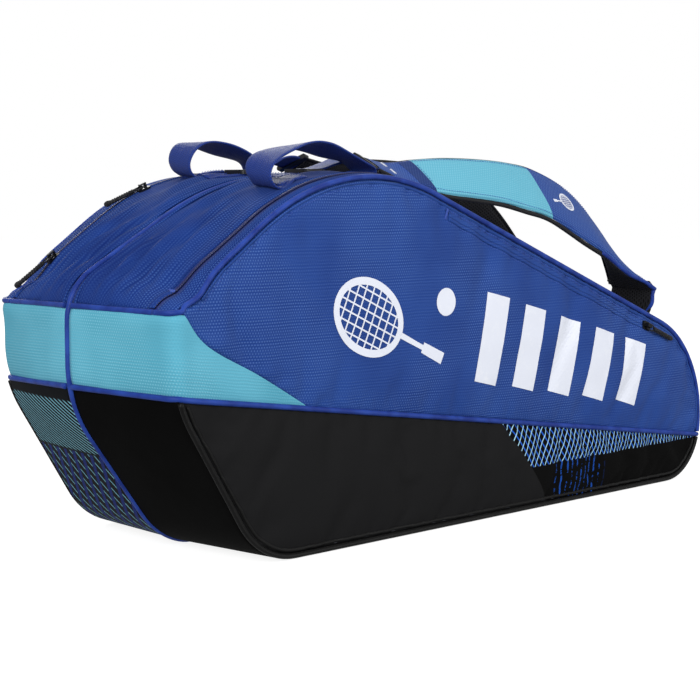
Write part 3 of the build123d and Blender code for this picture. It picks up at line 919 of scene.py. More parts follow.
def panel_y(side, points):
    """Outer face of the padded side panel at (x, z) points."""
    points = np.asarray(points, float)
    rim = line_distance(points, RIM_CLOSED)
    x, z = points.T
    in_band = (x < -290) & (above(x, z, WAIST_Z) > 0) & (above(x, z, FOLD_Z) < 6)
    rim = np.where(in_band, np.maximum(rim, 20), rim)
    waist = np.abs(above(x, z, WAIST_Z))
    near = np.minimum(rim, waist)
    rise = 2.6 * (1 - np.exp(-rim / 9)) * (1 - 0.75 * np.exp(-waist / 6))
    rise += 3.4 * (1 - np.exp(-near / 55))
    flat = stood(points, 5.0 * side)
    rise += 1.1 * wobble(flat, 95.0, 1.3) * smooth(near, 4, 40)
    rise += 0.36 * wobble(flat * np.array((0.6, 1, 1.2)), 24.0, 4.9) * smooth(near, 2, 20)
    pucker = np.exp(-rim / 9) * np.sin(x / 2.9) * np.sin(z / 3.3)
    rise += 0.18 * pucker * smooth(rim, 0, 3)
    return side * (119.6 + rise)


def coons(bottom, top, left, right):
    """Grid of points between four sides; bottom and top run the same way, left and right run upwards."""
    n, m = len(bottom), len(left)
    s = np.linspace(0, 1, n)[None, :, None]
    t = np.linspace(0, 1, m)[:, None, None]
    ruled_v = (1 - t) * bottom[None] + t * top[None]
    ruled_h = (1 - s) * left[:, None] + s * right[:, None]
    corners = (1 - s) * (1 - t) * bottom[0] + s * (1 - t) * bottom[-1]
    corners = corners + (1 - s) * t * top[0] + s * t * top[-1]
    return ruled_v + ruled_h - corners


def nearest(line, x, z):
    """Index of the point of a line that lies nearest."""
    return int(np.argmin((line[:, 0] - x) ** 2 + (line[:, 1] - z) ** 2))


def under_of(line, level):
    """The stretch of an outline below a seam level, from the nose round the base to the wide end."""
    left, right = crossings(line, level)
    return np.vstack([right[1], line[int(right[0]) + 1:], line[:int(left[0]) + 1], left[1]])


def upper_grid(cols=132, rows=40):
    over = part_of(RIM, FOLD_Z, WAIST_Z, 0, 1)
    turn = nearest(over, 744 - MID_X, 131)
    top, nose = over[:turn + 1], over[turn:][::-1]
    waist = np.array([WEDGE_FOOT, nose[0]])
    return coons(resample(waist, cols), resample(top, cols), resample(WEDGE_EDGE, rows), resample(nose, rows))


def lower_grid(cols=132, rows=30):
    under = under_of(RIM, WAIST_Z)
    a, b = nearest(under, 750 - MID_X, 20), nearest(under, 100 - MID_X, 18)
    bottom, nose, wide = under[a:b + 1][::-1], under[:a + 1][::-1], under[b:]
    waist = np.array([under[-1], under[0]])
    return coons(resample(bottom, cols), resample(waist, cols), resample(wide, rows), resample(nose, rows))


def settle(obj, held, pressure, spare, cap):
    """Runs Blender's cloth on a padded face held round its edge, and keeps the result in its mesh."""
    obj.vertex_groups.new(name="held").add([int(i) for i in np.flatnonzero(held)], 1.0, "REPLACE")
    sim = obj.modifiers.new("settle", "CLOTH")
    cloth = sim.settings
    cloth.quality = 6
    cloth.mass = 0.25
    cloth.tension_stiffness = cloth.compression_stiffness = 14
    cloth.shear_stiffness = 6
    cloth.bending_stiffness = 0.4
    cloth.vertex_group_mass = "held"
    cloth.use_pressure = True
    cloth.uniform_pressure_force = pressure
    cloth.shrink_min = -spare  # cut a little larger than the frame it is sewn to
    cloth.effector_weights.gravity = 0
    sim.collision_settings.use_collision = False
    before = np.zeros(len(obj.data.vertices) * 3, np.float32)
    obj.data.vertices.foreach_get("co", before)
    after = before.copy()
    for frame_number in range(1, 21):
        bpy.context.scene.frame_set(frame_number)
    shown = obj.evaluated_get(bpy.context.evaluated_depsgraph_get()).data
    shown.vertices.foreach_get("co", after)
    obj.modifiers.remove(sim)
    obj.vertex_groups.clear()
    bpy.context.scene.frame_set(1)
    move = (after - before).reshape(-1, 3)
    length = np.maximum(np.linalg.norm(move, axis=1, keepdims=True), 1e-9)
    move *= cap * MM * np.tanh(length / (cap * MM)) / length
    obj.data.vertices.foreach_set("co", before + move.ravel())
    obj.data.update()


PANEL_FACES = {FRONT: [], REAR: []}


def sheet_piece(name, grid, side, look):
    """A padded side panel from its grid of (x, z) points, with its look outside and lining inside."""
    rows, cols = grid.shape[:2]
    flat = grid.reshape(-1, 2)
    obj = make(name, stood(flat, panel_y(side, flat)), grid_faces(rows, cols, flip=side > 0),
               [look, mat_lining], flat)
    r, c = np.divmod(np.arange(rows * cols), cols)
    settle(obj, (r == 0) | (r == rows - 1) | (c == 0) | (c == cols - 1), 1.2, 0.014, 4.0)
    PANEL_FACES[side].append(BVHTree.FromPolygons([v.co / MM for v in obj.data.vertices],
                                                  [tuple(f.vertices) for f in obj.data.polygons]))
    thicken(obj, 3.0).modifiers[0].material_offset = 1
    return obj


def on_panel(side, points):
    """Outer face of the finished side panels at (x, z) points."""
    ys = panel_y(side, points)
    for i, (x, z) in enumerate(np.asarray(points, float)):
        for tree in PANEL_FACES[side]:
            hit = tree.ray_cast(Vector((x, ys[i] + side * 20, z)), Vector((0, -side, 0)), 60.0)[0]
            if hit is not None:
                ys[i] = hit.y
                break
    return ys


for side, name in SIDES:
    upper = sheet_piece(f"{name}_upper_panel_cloth", upper_grid(), side, mat_blue)
    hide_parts(f"{name}_waist_panel", f"{name}_flap_panel")
    flap_blend(upper)
    lower = sheet_piece(f"{name}_lower_panel_cloth", lower_grid(), side, mat_lattice)
    finish_piece(lower, "bag", "charcoal_fabric", f"{name}_lower_panel")


# ---- end band that wraps from the centre seam on to the side panel ---------------------------------
def wide_x(y, level):
    """x and z of the wide end at a distance from the centre plane, at a seam level."""
    return crossings(at_depth(y), level)[0][1]


def band_grid(side, rows=18, flat_cols=24, far_cols=48):
    """The band from the centre seam round the corner to the wedge's slanted edge."""
    verts, cloth = [], []
    edge_levels = above(WEDGE_EDGE[:, 0], WEDGE_EDGE[:, 1], 0) * LEVEL
    for level in np.linspace(WAIST_Z, FOLD_Z - 2.5, rows + 1):
        ys = np.linspace(2.5, 106, flat_cols + 1)
        path = stood(np.array([wide_x(y, level) for y in ys]), ys)
        lift = wall_rise(side, path[:, 0], side * path[:, 1], path[:, 2], np.zeros(len(path)))
        path[:, 0] -= lift
        x = wide_x(HALF_T, level)[0]
        edge_x = float(np.interp(level, edge_levels, WEDGE_EDGE[:, 0]))
        panel_x = np.linspace(x + 14, WEDGE_FOOT[0] + 4, 160)
        panel = np.stack([panel_x, level - TILT * panel_x], axis=1)
        face = np.abs(panel_y(side, panel)) + 0.5
        a, c = path[-1], np.array((panel_x[0], face[0], panel[0, 1]))
        b = np.array((x - lift[-1] * 0.6, face[0] + 0.3, level - TILT * x))
        t = np.linspace(0, 1, 24)[1:, None]
        bend = (1 - t) ** 2 * a + 2 * t * (1 - t) * b + t**2 * c
        far = np.vstack([a[None], bend, stood(panel, face)[1:]])
        stop = int(np.argmax(far[:, 0] > edge_x))
        share = (edge_x - far[stop - 1, 0]) / (far[stop, 0] - far[stop - 1, 0])
        last = far[stop - 1] + share * (far[stop] - far[stop - 1])
        far = resample(np.vstack([far[:stop], last]), far_cols)
        row = np.vstack([path[:-1], far])
        row[:, 1] *= side
        verts.append(row)
        cloth.append(np.stack([run_of(row), np.full(len(row), level)], axis=1))
    cols = len(verts[0])
    return np.vstack(verts), grid_faces(rows + 1, cols, flip=side > 0), np.vstack(cloth)


for side, name in SIDES:
    verts, faces, cloth = band_grid(side)
    band = make(f"{name}_end_band_cloth", verts, faces, [mat_cyan, mat_lining], cloth)
    thicken(band, 3.0).modifiers[0].material_offset = 1
    finish_piece(band, "bag", "cyan_fabric", f"{name}_end_band", f"{name}_corner_wedge")


# ---- pipings ---------------------------------------------------------------------------------------
def cord_piece(name, points, radius, material, count, sides=10):
    """A slightly uneven cord along a line."""
    points = resample(points, count)
    verts, faces, cloth = tube(points, radius * (1 + 0.025 * wobble(points, 16.0)), sides)
    return make(name, verts, faces, material, cloth)


BAND_TOP = FOLD_Z - 2.4
FLANGE_Y = 8.2  # beside the centre seam
for side, name in SIDES:
    outline = PANEL - PIPING_R * outward(PANEL)
    arch = stood(part_of(outline, FOLD_Z - 1.5, WAIST_Z + 3.5, 0, 1), side * PIPING_Y)
    arch = arch[arch[:, 0] > 26 - MID_X]
    curl = [(wide_x(y, BAND_TOP)[0] - 0.6, side * y, wide_x(y, BAND_TOP)[1]) for y in (100, 106, 111)]
    corner_x, corner_z = wide_x(HALF_T, BAND_TOP)
    curl += [(corner_x - 0.4, side * 116, corner_z + 0.2), (corner_x + 3.5, side * 120, corner_z + 0.8),
             (corner_x + 9, side * 121.6, corner_z + 1.4)]
    arch = spline(np.vstack([curl, arch[::3], arch[-1:]]), 320)
    piping = cord_piece(f"{name}_arch_piping", arch, PIPING_R, mat_piping, 320)
    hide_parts(f"{name}_flap_piping")
    flap_blend(piping)
    lower = stood(under_of(outline, WAIST_Z - 3.0), side * PIPING_Y)
    obj = cord_piece(f"{name}_lower_piping", lower, PIPING_R, mat_black_piping, 260)
    finish_piece(obj, "bag", "black_piping", f"{name}_panel_piping")

    # Waist welt: along the side panel, round the corner and over the end band to the centre seam.
    def end_point(y, level, proud):
        x, z = wide_x(y, level)
        return (x - proud, side * y, z)

    xs = np.linspace(764 - MID_X, -345, 60)
    flat = np.stack([xs, WAIST_Z - TILT * xs], axis=1)
    ys = np.abs(panel_y(side, flat)) + 1.2
    along_side = stood(flat, side * ys)
    corner_x, corner_z = wide_x(HALF_T, WAIST_Z)
    bend = [(corner_x + 12, side * (ys[-1] - 0.3), corner_z - TILT * 12),
            (corner_x + 3, side * (ys[-1] - 3), corner_z), (corner_x - 1.0, side * 113, corner_z)]
    across = [end_point(y, WAIST_Z, 1.2) for y in np.linspace(104, 4.5, 12)]
    waist = spline(np.vstack([along_side[::4], bend, across]), 320)
    obj = cord_piece(f"{name}_waist_welt", waist, PIPING_R, mat_piping, 320)
    finish_piece(obj, "bag", "blue_piping", f"{name}_waist_piping")
    across = [end_point(y, BAND_TOP, 0.6) for y in np.linspace(4.5, 104, 14)]
    obj = cord_piece(f"{name}_band_welt", spline(across, 60), PIPING_R, mat_piping, 60)
    finish_piece(obj, "bag", "blue_piping", f"{name}_band_piping")

    # Flanges sewn down beside the welts.
    flat = part_of(RIM - 3.4 * outward(RIM), FOLD_Z + 3, WAIST_Z + 6, 0, 1)
    flange = stood(flat, on_panel(side, flat) - side * 0.2)
    obj = cord_piece(f"{name}_arch_flange", flange[2:], 1.5, mat_blue, 300, 8)
    flap_blend(obj)
    flat = part_of(RIM - 6.6 * outward(RIM), FOLD_Z + 3, WAIST_Z + 8, 0, 1)
    sewing = Pile()
    stitches_one_way(sewing, stood(flat, on_panel(side, flat) + side * 0.1), (0.0, float(side), 0.0))
    obj = sewing.build(f"{name}_arch_stitching", mat_thread)
    flap_blend(obj)
    under = under_of(RIM - 4.0 * outward(RIM), WAIST_Z - 5.0)
    flange = stood(under, on_panel(side, under) - side * 0.3)
    obj = cord_piece(f"{name}_lower_flange", flange, 1.6, mat_black_piping, 260, 8)
    finish_piece(obj, "bag", "black_piping")
    beside = at_depth(FLANGE_Y)
    flat = part_of(beside, FOLD_Z - 1, FOLD_Z - 1, 0, 1)
    near = [nearest(beside, *p) for p in flat]
    rise = wall_rise(side, flat[:, 0], side * FLANGE_Y, flat[:, 1])
    flange = stood(flat + outward(beside)[near] * (rise[:, None] + 0.2), side * FLANGE_Y)
    obj = cord_piece(f"{name}_centre_flange", flange, 1.5, mat_roof_painted_shade, 300, 8)
    finish_piece(obj, "bag", "blue_fabric")

loop = stood(CENTRE - 1.2 * outward(CENTRE), 0.0)
loop[:, 2] = np.maximum(loop[:, 2], 2.3)
ring = np.vstack([loop, loop[:1]])
centre = cord_piece("centre_seam_piping", ring, 2.9, mat_piping, 420)
finish_piece(centre, "bag", "blue_piping", "centre_piping")


# ---- zips ------------------------------------------------------------------------------------------
def with_outward(line):
    """x and z of a closed outline, with x and z of its outward directions."""
    return np.hstack([closed(line), closed(outward(line))])


def wall_line(side, y, lift, level, count=None):
    """A line over the wall's outer face at a distance from the centre plane, with its outward directions."""
    line = at_depth(y)
    data = with_outward(line)
    (i, _), (j, _) = crossings(line, level)
    where = np.concatenate([[i], np.arange(math.floor(i) + 1, math.ceil(j)), [j]])
    x, z, nx, nz = (np.interp(where, np.arange(len(data)), data[:, k]) for k in range(4))
    rise = wall_rise(side, x, side * y, z)
    below = smooth(-above(x, z, FOLD_Z), 0, 4)
    rise = rise + lift - 2.2 * below
    points = np.stack([x + nx * rise, np.full(len(x), side * y), z + nz * rise], axis=1)
    normals = np.stack([nx, np.zeros(len(x)), nz], axis=1)
    if count:
        run = run_of(points)
        at = np.linspace(0, run[-1], count + 1)
        points, normals = read(at, run, points), unit(read(at, run, normals))
    return points, normals


def wall_strip(side, depths, lifts, level, count):
    """A strip over the top between several distances from the centre plane."""
    rows, cloth = [], []
    for y, lift in zip(depths, lifts):
        points, _ = wall_line(side, y, lift, level, count)
        rows.append(points)
        run = np.linspace(0, 2.5 * count, count + 1)
        cloth.append(np.stack([run, np.full(count + 1, y)], axis=1))
    return np.vstack(rows), grid_faces(len(rows), count + 1, flip=side < 0), np.vstack(cloth)


def teeth(side, near, far, level, offset, pitch=2.2):
    """One row of coil teeth, each a small rounded bar that reaches across the middle of the zip."""
    line, normals = wall_line(side, 99.0, 0.25, level)
    run = run_of(line)
    reach = far - near
    pile = Pile()
    for s in np.arange(offset + 1.0, run[-1] - 1.0, pitch):
        p = read(s, run, line)
        n = unit(read(s, run, normals))
        t = np.cross((0.0, 1.0, 0.0), n)
        verts = []
        for y, size in ((near, 0.55), (near + 0.3 * reach, 0.8), (far - 0.15 * reach, 0.85), (far, 0.5)):
            for k in range(6):
                a = math.pi * k / 3
                q = p + t * math.cos(a) * size * 0.95 + n * math.sin(a) * size
                verts.append((q[0], side * y, q[2]))
        faces = grid_faces(4, 6, close_cols=True, flip=side > 0)
        faces += [tuple(range(6))[::side], tuple(range(18, 24))[::-side]]
        pile.add(verts, faces)
    return pile


def tape(side, name, *strip):
    """One tape of a zip."""
    verts, faces, cloth = wall_strip(side, *strip)
    return thicken(make(name, verts, faces, mat_tape, cloth), 0.7)


# How far from the centre plane the lines along each tape and each end cover lie, and how high.
INNER_TAPE = (94.2, 95.4, 97.0, 98.7), (-0.9, -0.7, -0.8, -1.0), FOLD_Z, 420
OUTER_TAPE = (99.3, 101.0, 102.6, 104.0), (-1.0, -0.8, -0.7, -0.9), FOLD_Z - 10, 430
END_COVER = (92.6, 0.5), (94.0, 1.1), (97.0, 1.3), (99.6, 1.2), (100.4, 0.4)
for side, name in SIDES:
    inner = tape(side, f"{name}_zip_inner_tape_cloth", *INNER_TAPE)
    finish_piece(inner, "bag", "zip_tape", f"{name}_zip_inner_tape")
    outer = tape(side, f"{name}_zip_outer_tape_cloth", *OUTER_TAPE)
    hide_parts(f"{name}_zip_outer_tape")
    flap_blend(outer)
    rows_in = teeth(side, 97.3, 99.9, FOLD_Z, 0.0).build(f"{name}_zip_inner_teeth", mat_coil)
    finish_piece(rows_in, "bag", "zip_tape")
    rows_out = teeth(side, 100.7, 98.1, FOLD_Z, 1.1).build(f"{name}_zip_outer_teeth", mat_coil)
    finish_piece(rows_out, f"{name}_flap", "zip_tape")
    hem, _ = wall_line(side, ZIP_IN - 0.9, 0.1, FOLD_Z + 2, 300)
    hem = finish_piece(cord_piece(f"{name}_zip_hem", hem, 1.0, mat_roof_painted_shade, 300, 8), "bag", "blue_fabric")
    zip_parts = [inner, outer, hem, rows_in, rows_out]
    # A sewn cover hides each end of the zip.
    for end_name, part in (("wide_end", slice(0, 13)), ("nose_end", slice(-11, None))):
        rows = [wall_line(side, y, lift, FOLD_Z, 420)[0][part] for y, lift in END_COVER]
        grid = np.vstack(rows)
        faces = grid_faces(len(rows), len(rows[0]), flip=side < 0)
        cover = make(f"{name}_zip_cover_{end_name}", grid, faces, mat_roof_painted_shade, grid[:, (0, 1)])
        zip_parts.append(finish_piece(thicken(cover, 0.6), "bag", "blue_fabric"))
        tack = Pile()
        at = rows[2][-1 if end_name == "wide_end" else 0]
        bartack(tack, at, (0.0, 1.0, 0.0), unit(rows[2][1] - rows[2][0]), 9.0, 2.6)
        tack = tack.build(f"{name}_zip_tack_{end_name}", mat_thread)
        zip_parts.append(finish_piece(tack, "bag", "blue_piping"))
    if side == FRONT:
        for obj in zip_parts:
            nudge_zip(obj)


def cad_finish(node, material):
    """A CAD node that keeps its shape takes a procedural material."""
    obj = frame["nodes"][node]
    obj.data.materials.clear()
    obj.data.materials.append(material)


joints = {j["name"]: j for j in frame["record"]["behaviour"]["joints"]}
# Along the pull and across it.
WIRE_LOOP = ((0.0, -2.4), (0.0, 2.4), (3.0, 3.0), (9.0, 2.6), (12.5, 1.2), (12.5, -1.2), (9.0, -2.6),
             (3.0, -3.0), (0.0, -2.4))
for key in ("front_upper", "front_lower", "rear_end", "rear_arch", "pocket"):
    cad_finish(f"{key}_slider", mat_metal)
    hinge = joints[f"{key}_pull_hinge"]
    pivot = np.array(hinge["pos_m"]) / MM
    pin = unit(hinge["axis"])
    lo, hi = (np.array(c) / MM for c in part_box(f"{key}_pull"))
    reach = (lo + hi) / 2 - pivot
    reach = unit(reach - pin * (reach @ pin))
    off = unit(np.cross(reach, pin))
    if off @ (0, 0, 1) < 0 and key != "pocket":
        off = -off
    pile = Pile()
    # A wire loop through the slider's bridge, then three plaited strands and a knot.
    wire = [pivot + reach * a + pin * b for a, b in WIRE_LOOP]
    pile.add(*tube(spline(wire, 48), 0.8, 8, taper=False))
    length = 33.0
    for strand in range(3):
        s = np.linspace(0, length, 90)
        phase = 2 * math.pi * (s / 9.0 + strand / 3)
        path = (pivot + reach * (11.5 + s)[:, None] + pin * (np.cos(phase) * 1.5)[:, None]
                + off * (np.sin(phase) * 0.9)[:, None])
        pile.add(*tube(path, 1.25, 7))
    s = np.linspace(length + 8, length + 14, 14)
    bulge = 1.3 + 1.5 * np.sin(np.linspace(0.25, math.pi - 0.25, 14)) ** 0.6
    pile.add(*tube(pivot + reach * s[:, None], bulge, 12))
    obj = pile.build(f"{key}_pull_cord", mat_cord)
    finish_piece(obj, f"{key}_pull", "pull_cord", f"{key}_pull")


# ---- things sewn on the roof -----------------------------------------------------------------------
def roof_at(side, xs, y, lift):
    """Points and outward directions on the roof's outer face."""
    line = at_depth(y)
    (i, _), (j, _) = crossings(line, FOLD_Z)
    part = slice(math.ceil(i), math.floor(j) + 1)
    line_x, *rest = with_outward(line)[part].T
    z, nx, nz, run = (np.interp(xs, line_x, k) for k in (*rest, WALL_RUN[part]))
    rise = wall_rise(side, np.asarray(xs, float), side * y, z, run) + lift
    points = np.stack([xs + nx * rise, np.full(len(xs), side * y), z + nz * rise], axis=1)
    return points, np.stack([nx, np.zeros(len(xs)), nz], axis=1)


def roof_patch(name, side, x0, x1, y_mid, width, lift, material, thickness=1.5):
    """A strip of webbing sewn flat on the roof."""
    xs = np.linspace(x0, x1, max(int(abs(x1 - x0) / 3), 6) + 1)
    ys = np.linspace(-width / 2, width / 2, 9)
    rows, cloth = [], []
    for dy in ys:
        edge = 1 - (abs(dy) / (width / 2)) ** 6
        points, _ = roof_at(side, xs, y_mid + dy, lift + thickness * (0.6 + 0.4 * edge))
        rows.append(points)
        cloth.append(np.stack([xs, np.full(len(xs), dy)], axis=1))
    obj = make(name, np.vstack(rows), grid_faces(len(ys), len(xs), flip=side < 0), material, np.vstack(cloth))
    return thicken(obj, thickness)


FEET = {FRONT: (-205.0, -104.0), REAR: (-172.0, -104.0)}  # x of each handle's feet
for side, name in SIDES:
    left, right = FEET[side]
    thread = Pile()
    for foot, x0, x1 in (("left", left - 16, left + 16), ("right", right - 12, right + 16)):
        patch = roof_patch(f"{name}_handle_patch_{foot}", side, x0, x1, 73, 30, 0.5, mat_web)
        finish_piece(patch, "bag", "blue_webbing", f"{name}_handle_patches")
        for y in (60.5, 85.5):
            stitches(thread, *roof_at(side, np.linspace(x0 + 2, x1 - 2, 20), y, 2.1))
        for x in (x0 + 2, x1 - 2):
            points, normals = zip(*[tuple(a[0] for a in roof_at(side, np.array([x]), y, 2.1))
                                    for y in np.linspace(60.5, 85.5, 10)])
            stitches(thread, np.array(points), np.array(normals))
    lane = roof_patch(f"{name}_strap_lane_webbing", side, -190, -54, 42, 25, 0.4, mat_web)
    finish_piece(lane, "bag", "blue_webbing", f"{name}_strap_webbing")
    anchor = roof_patch(f"{name}_strap_anchor_patch", side, 268, 314, 66, 46, 0.4, mat_black_web)
    finish_piece(anchor, "bag", "black_fabric", f"{name}_strap_webbing")
    for y in (32.5, 51.5):
        stitches(thread, *roof_at(side, np.linspace(-188, -56, 80), y, 2.0))
    for y in (46.0, 86.0):
        stitches(thread, *roof_at(side, np.linspace(270, 312, 20), y, 2.0))
    finish_piece(thread.build(f"{name}_patch_stitching", mat_thread), "bag", "blue_piping")
    cad_finish(f"{name}_ladder_lock", mat_plastic)
    cad_finish(f"{name}_strap_bar", mat_plastic)
    cad_finish(f"{name}_base_board", mat_board)


# ---- carry handles ---------------------------------------------------------------------------------
HANDLE_PATHS = {  # x, offset from the handle's lane, z
    FRONT: [(-205, 0, "roof"), (-210, 0, 325), (-220, 1, 321), (-230, 2, 322.5), (-236, 2, 330),
            (-234, 1.5, 339), (-225, 0, 346.5), (-208, -1, 352.5), (-186, -2, 357), (-163, -2, 355.5),
            (-140, -1, 349), (-119, 0, 343), (-107, 0, 337), (-104, 0, "roof")],
    REAR: [(-172, 0, "roof"), (-178, 0, 332), (-187, 1, 330), (-196, 2, 334), (-200, 2, 342),
           (-198, 1.5, 351), (-191, 1, 358.5), (-179, 0, 361.5), (-161, -1, 358.5), (-141, -2, 353.5),
           (-122, -1, 347.5), (-109, 0, 341), (-104, 0, "roof")],
}
for side, name in SIDES:
    y = 74.0
    swing = joints[f"{name}_handle_swing"]
    axis = unit(swing["axis"])
    path = []
    for x, dy, z in HANDLE_PATHS[side]:
        z = roof_at(side, np.array([x]), y, 2.2)[0][0][2] if z == "roof" else z
        path.append((x, side * (y + dy), z))
    points = spline(path, 170)
    s = np.linspace(0, 1, len(points))
    lean = 0.16 * np.sin(s * 2.4 * math.pi) * smooth(s, 0, 0.15) * smooth(s, 1, 0.85)
    across = np.stack([lean * 0.8, np.ones(len(points)), lean], axis=1)
    widths = 37.0 - 5.0 * (smooth(s, 0.06, 0.0) + smooth(s, 0.94, 1.0))
    verts, faces, cloth = webbing(points, across, widths, 2.0)
    loop = make(f"{name}_handle_webbing", verts, faces, mat_web, cloth)
    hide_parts(f"{name}_handle")
    up = unit(np.cross(axis, (0.0, 1.0, 0.0)))
    up = up if up[2] > 0 else -up
    origin = np.array(swing["pos_m"]) / MM
    blend(loop)


# ---- backpack straps -------------------------------------------------------------------------------
TOP_COLS, UNDER_COLS = 17, 13  # points across each face of a strap
FOOT_STEPS = 44
WEB_SIDES = 18  # points round a webbing's edge
STRAP_STATIONS = [  # inner edge, outer edge and thickness, from the narrow end on
    ((-72, 37, 348), (-72, 63, 336), 4.0), ((-42, 37, 343), (-42, 72, 323), 5.0),
    ((-7, 44, 346), (-7, 84, 313), 7.0), ((30, 52, 348), (28, 88, 309), 8.0),
    ((77, 58, 347), (72, 91, 304), 8.0), ((118, 60, 344), (110, 94, 296), 8.0),
    ((156, 60, 338), (148, 95, 287), 8.0), ((205, 60, 321), (200, 98, 263), 8.0),
    ((245, 60, 294), (235, 101, 247), 8.0), ((275, 56, 262), (268, 104, 228), 8.0),
    ((296, 52, 234), (294, 106, 219), 7.0), ((309, 49, 214), (313, 107, 210), 6.0),
]


class StrapShape:
    """Middle line, half width, outward direction and thickness of one strap."""

    def __init__(self, side):
        inner = through([(x, side * y, z) for (x, y, z), _, _ in STRAP_STATIONS])
        outer = through([(x, side * y, z) for _, (x, y, z), _ in STRAP_STATIONS])
        self.thick = through([(t, 0) for _, _, t in STRAP_STATIONS])[:, 0]
        self.middle, self.half = (inner + outer) / 2, (outer - inner) / 2
        along = unit(np.gradient(self.middle, axis=0))
        normal = unit(np.cross(along, self.half))
        self.normal = normal * np.sign(normal @ np.array((0, side * 0.7, 0.7)))[:, None]
        self.run = run_of(self.middle)

    def top(self, w):
        return 0.5 * np.maximum(1 - np.abs(w) ** 3.2, 0.0) ** 0.6 + 0.10

    def face(self, u, v, lift=0.0):
        """A point on the outer face at a distance along and across, in millimetres."""
        m, h, n = (read(u, self.run, a) for a in (self.middle, self.half, self.normal))
        w = v / np.linalg.norm(h)
        thick = np.interp(u, self.run, self.thick)
        return m + unit(h) * v + unit(n) * (thick * self.top(w) + lift)


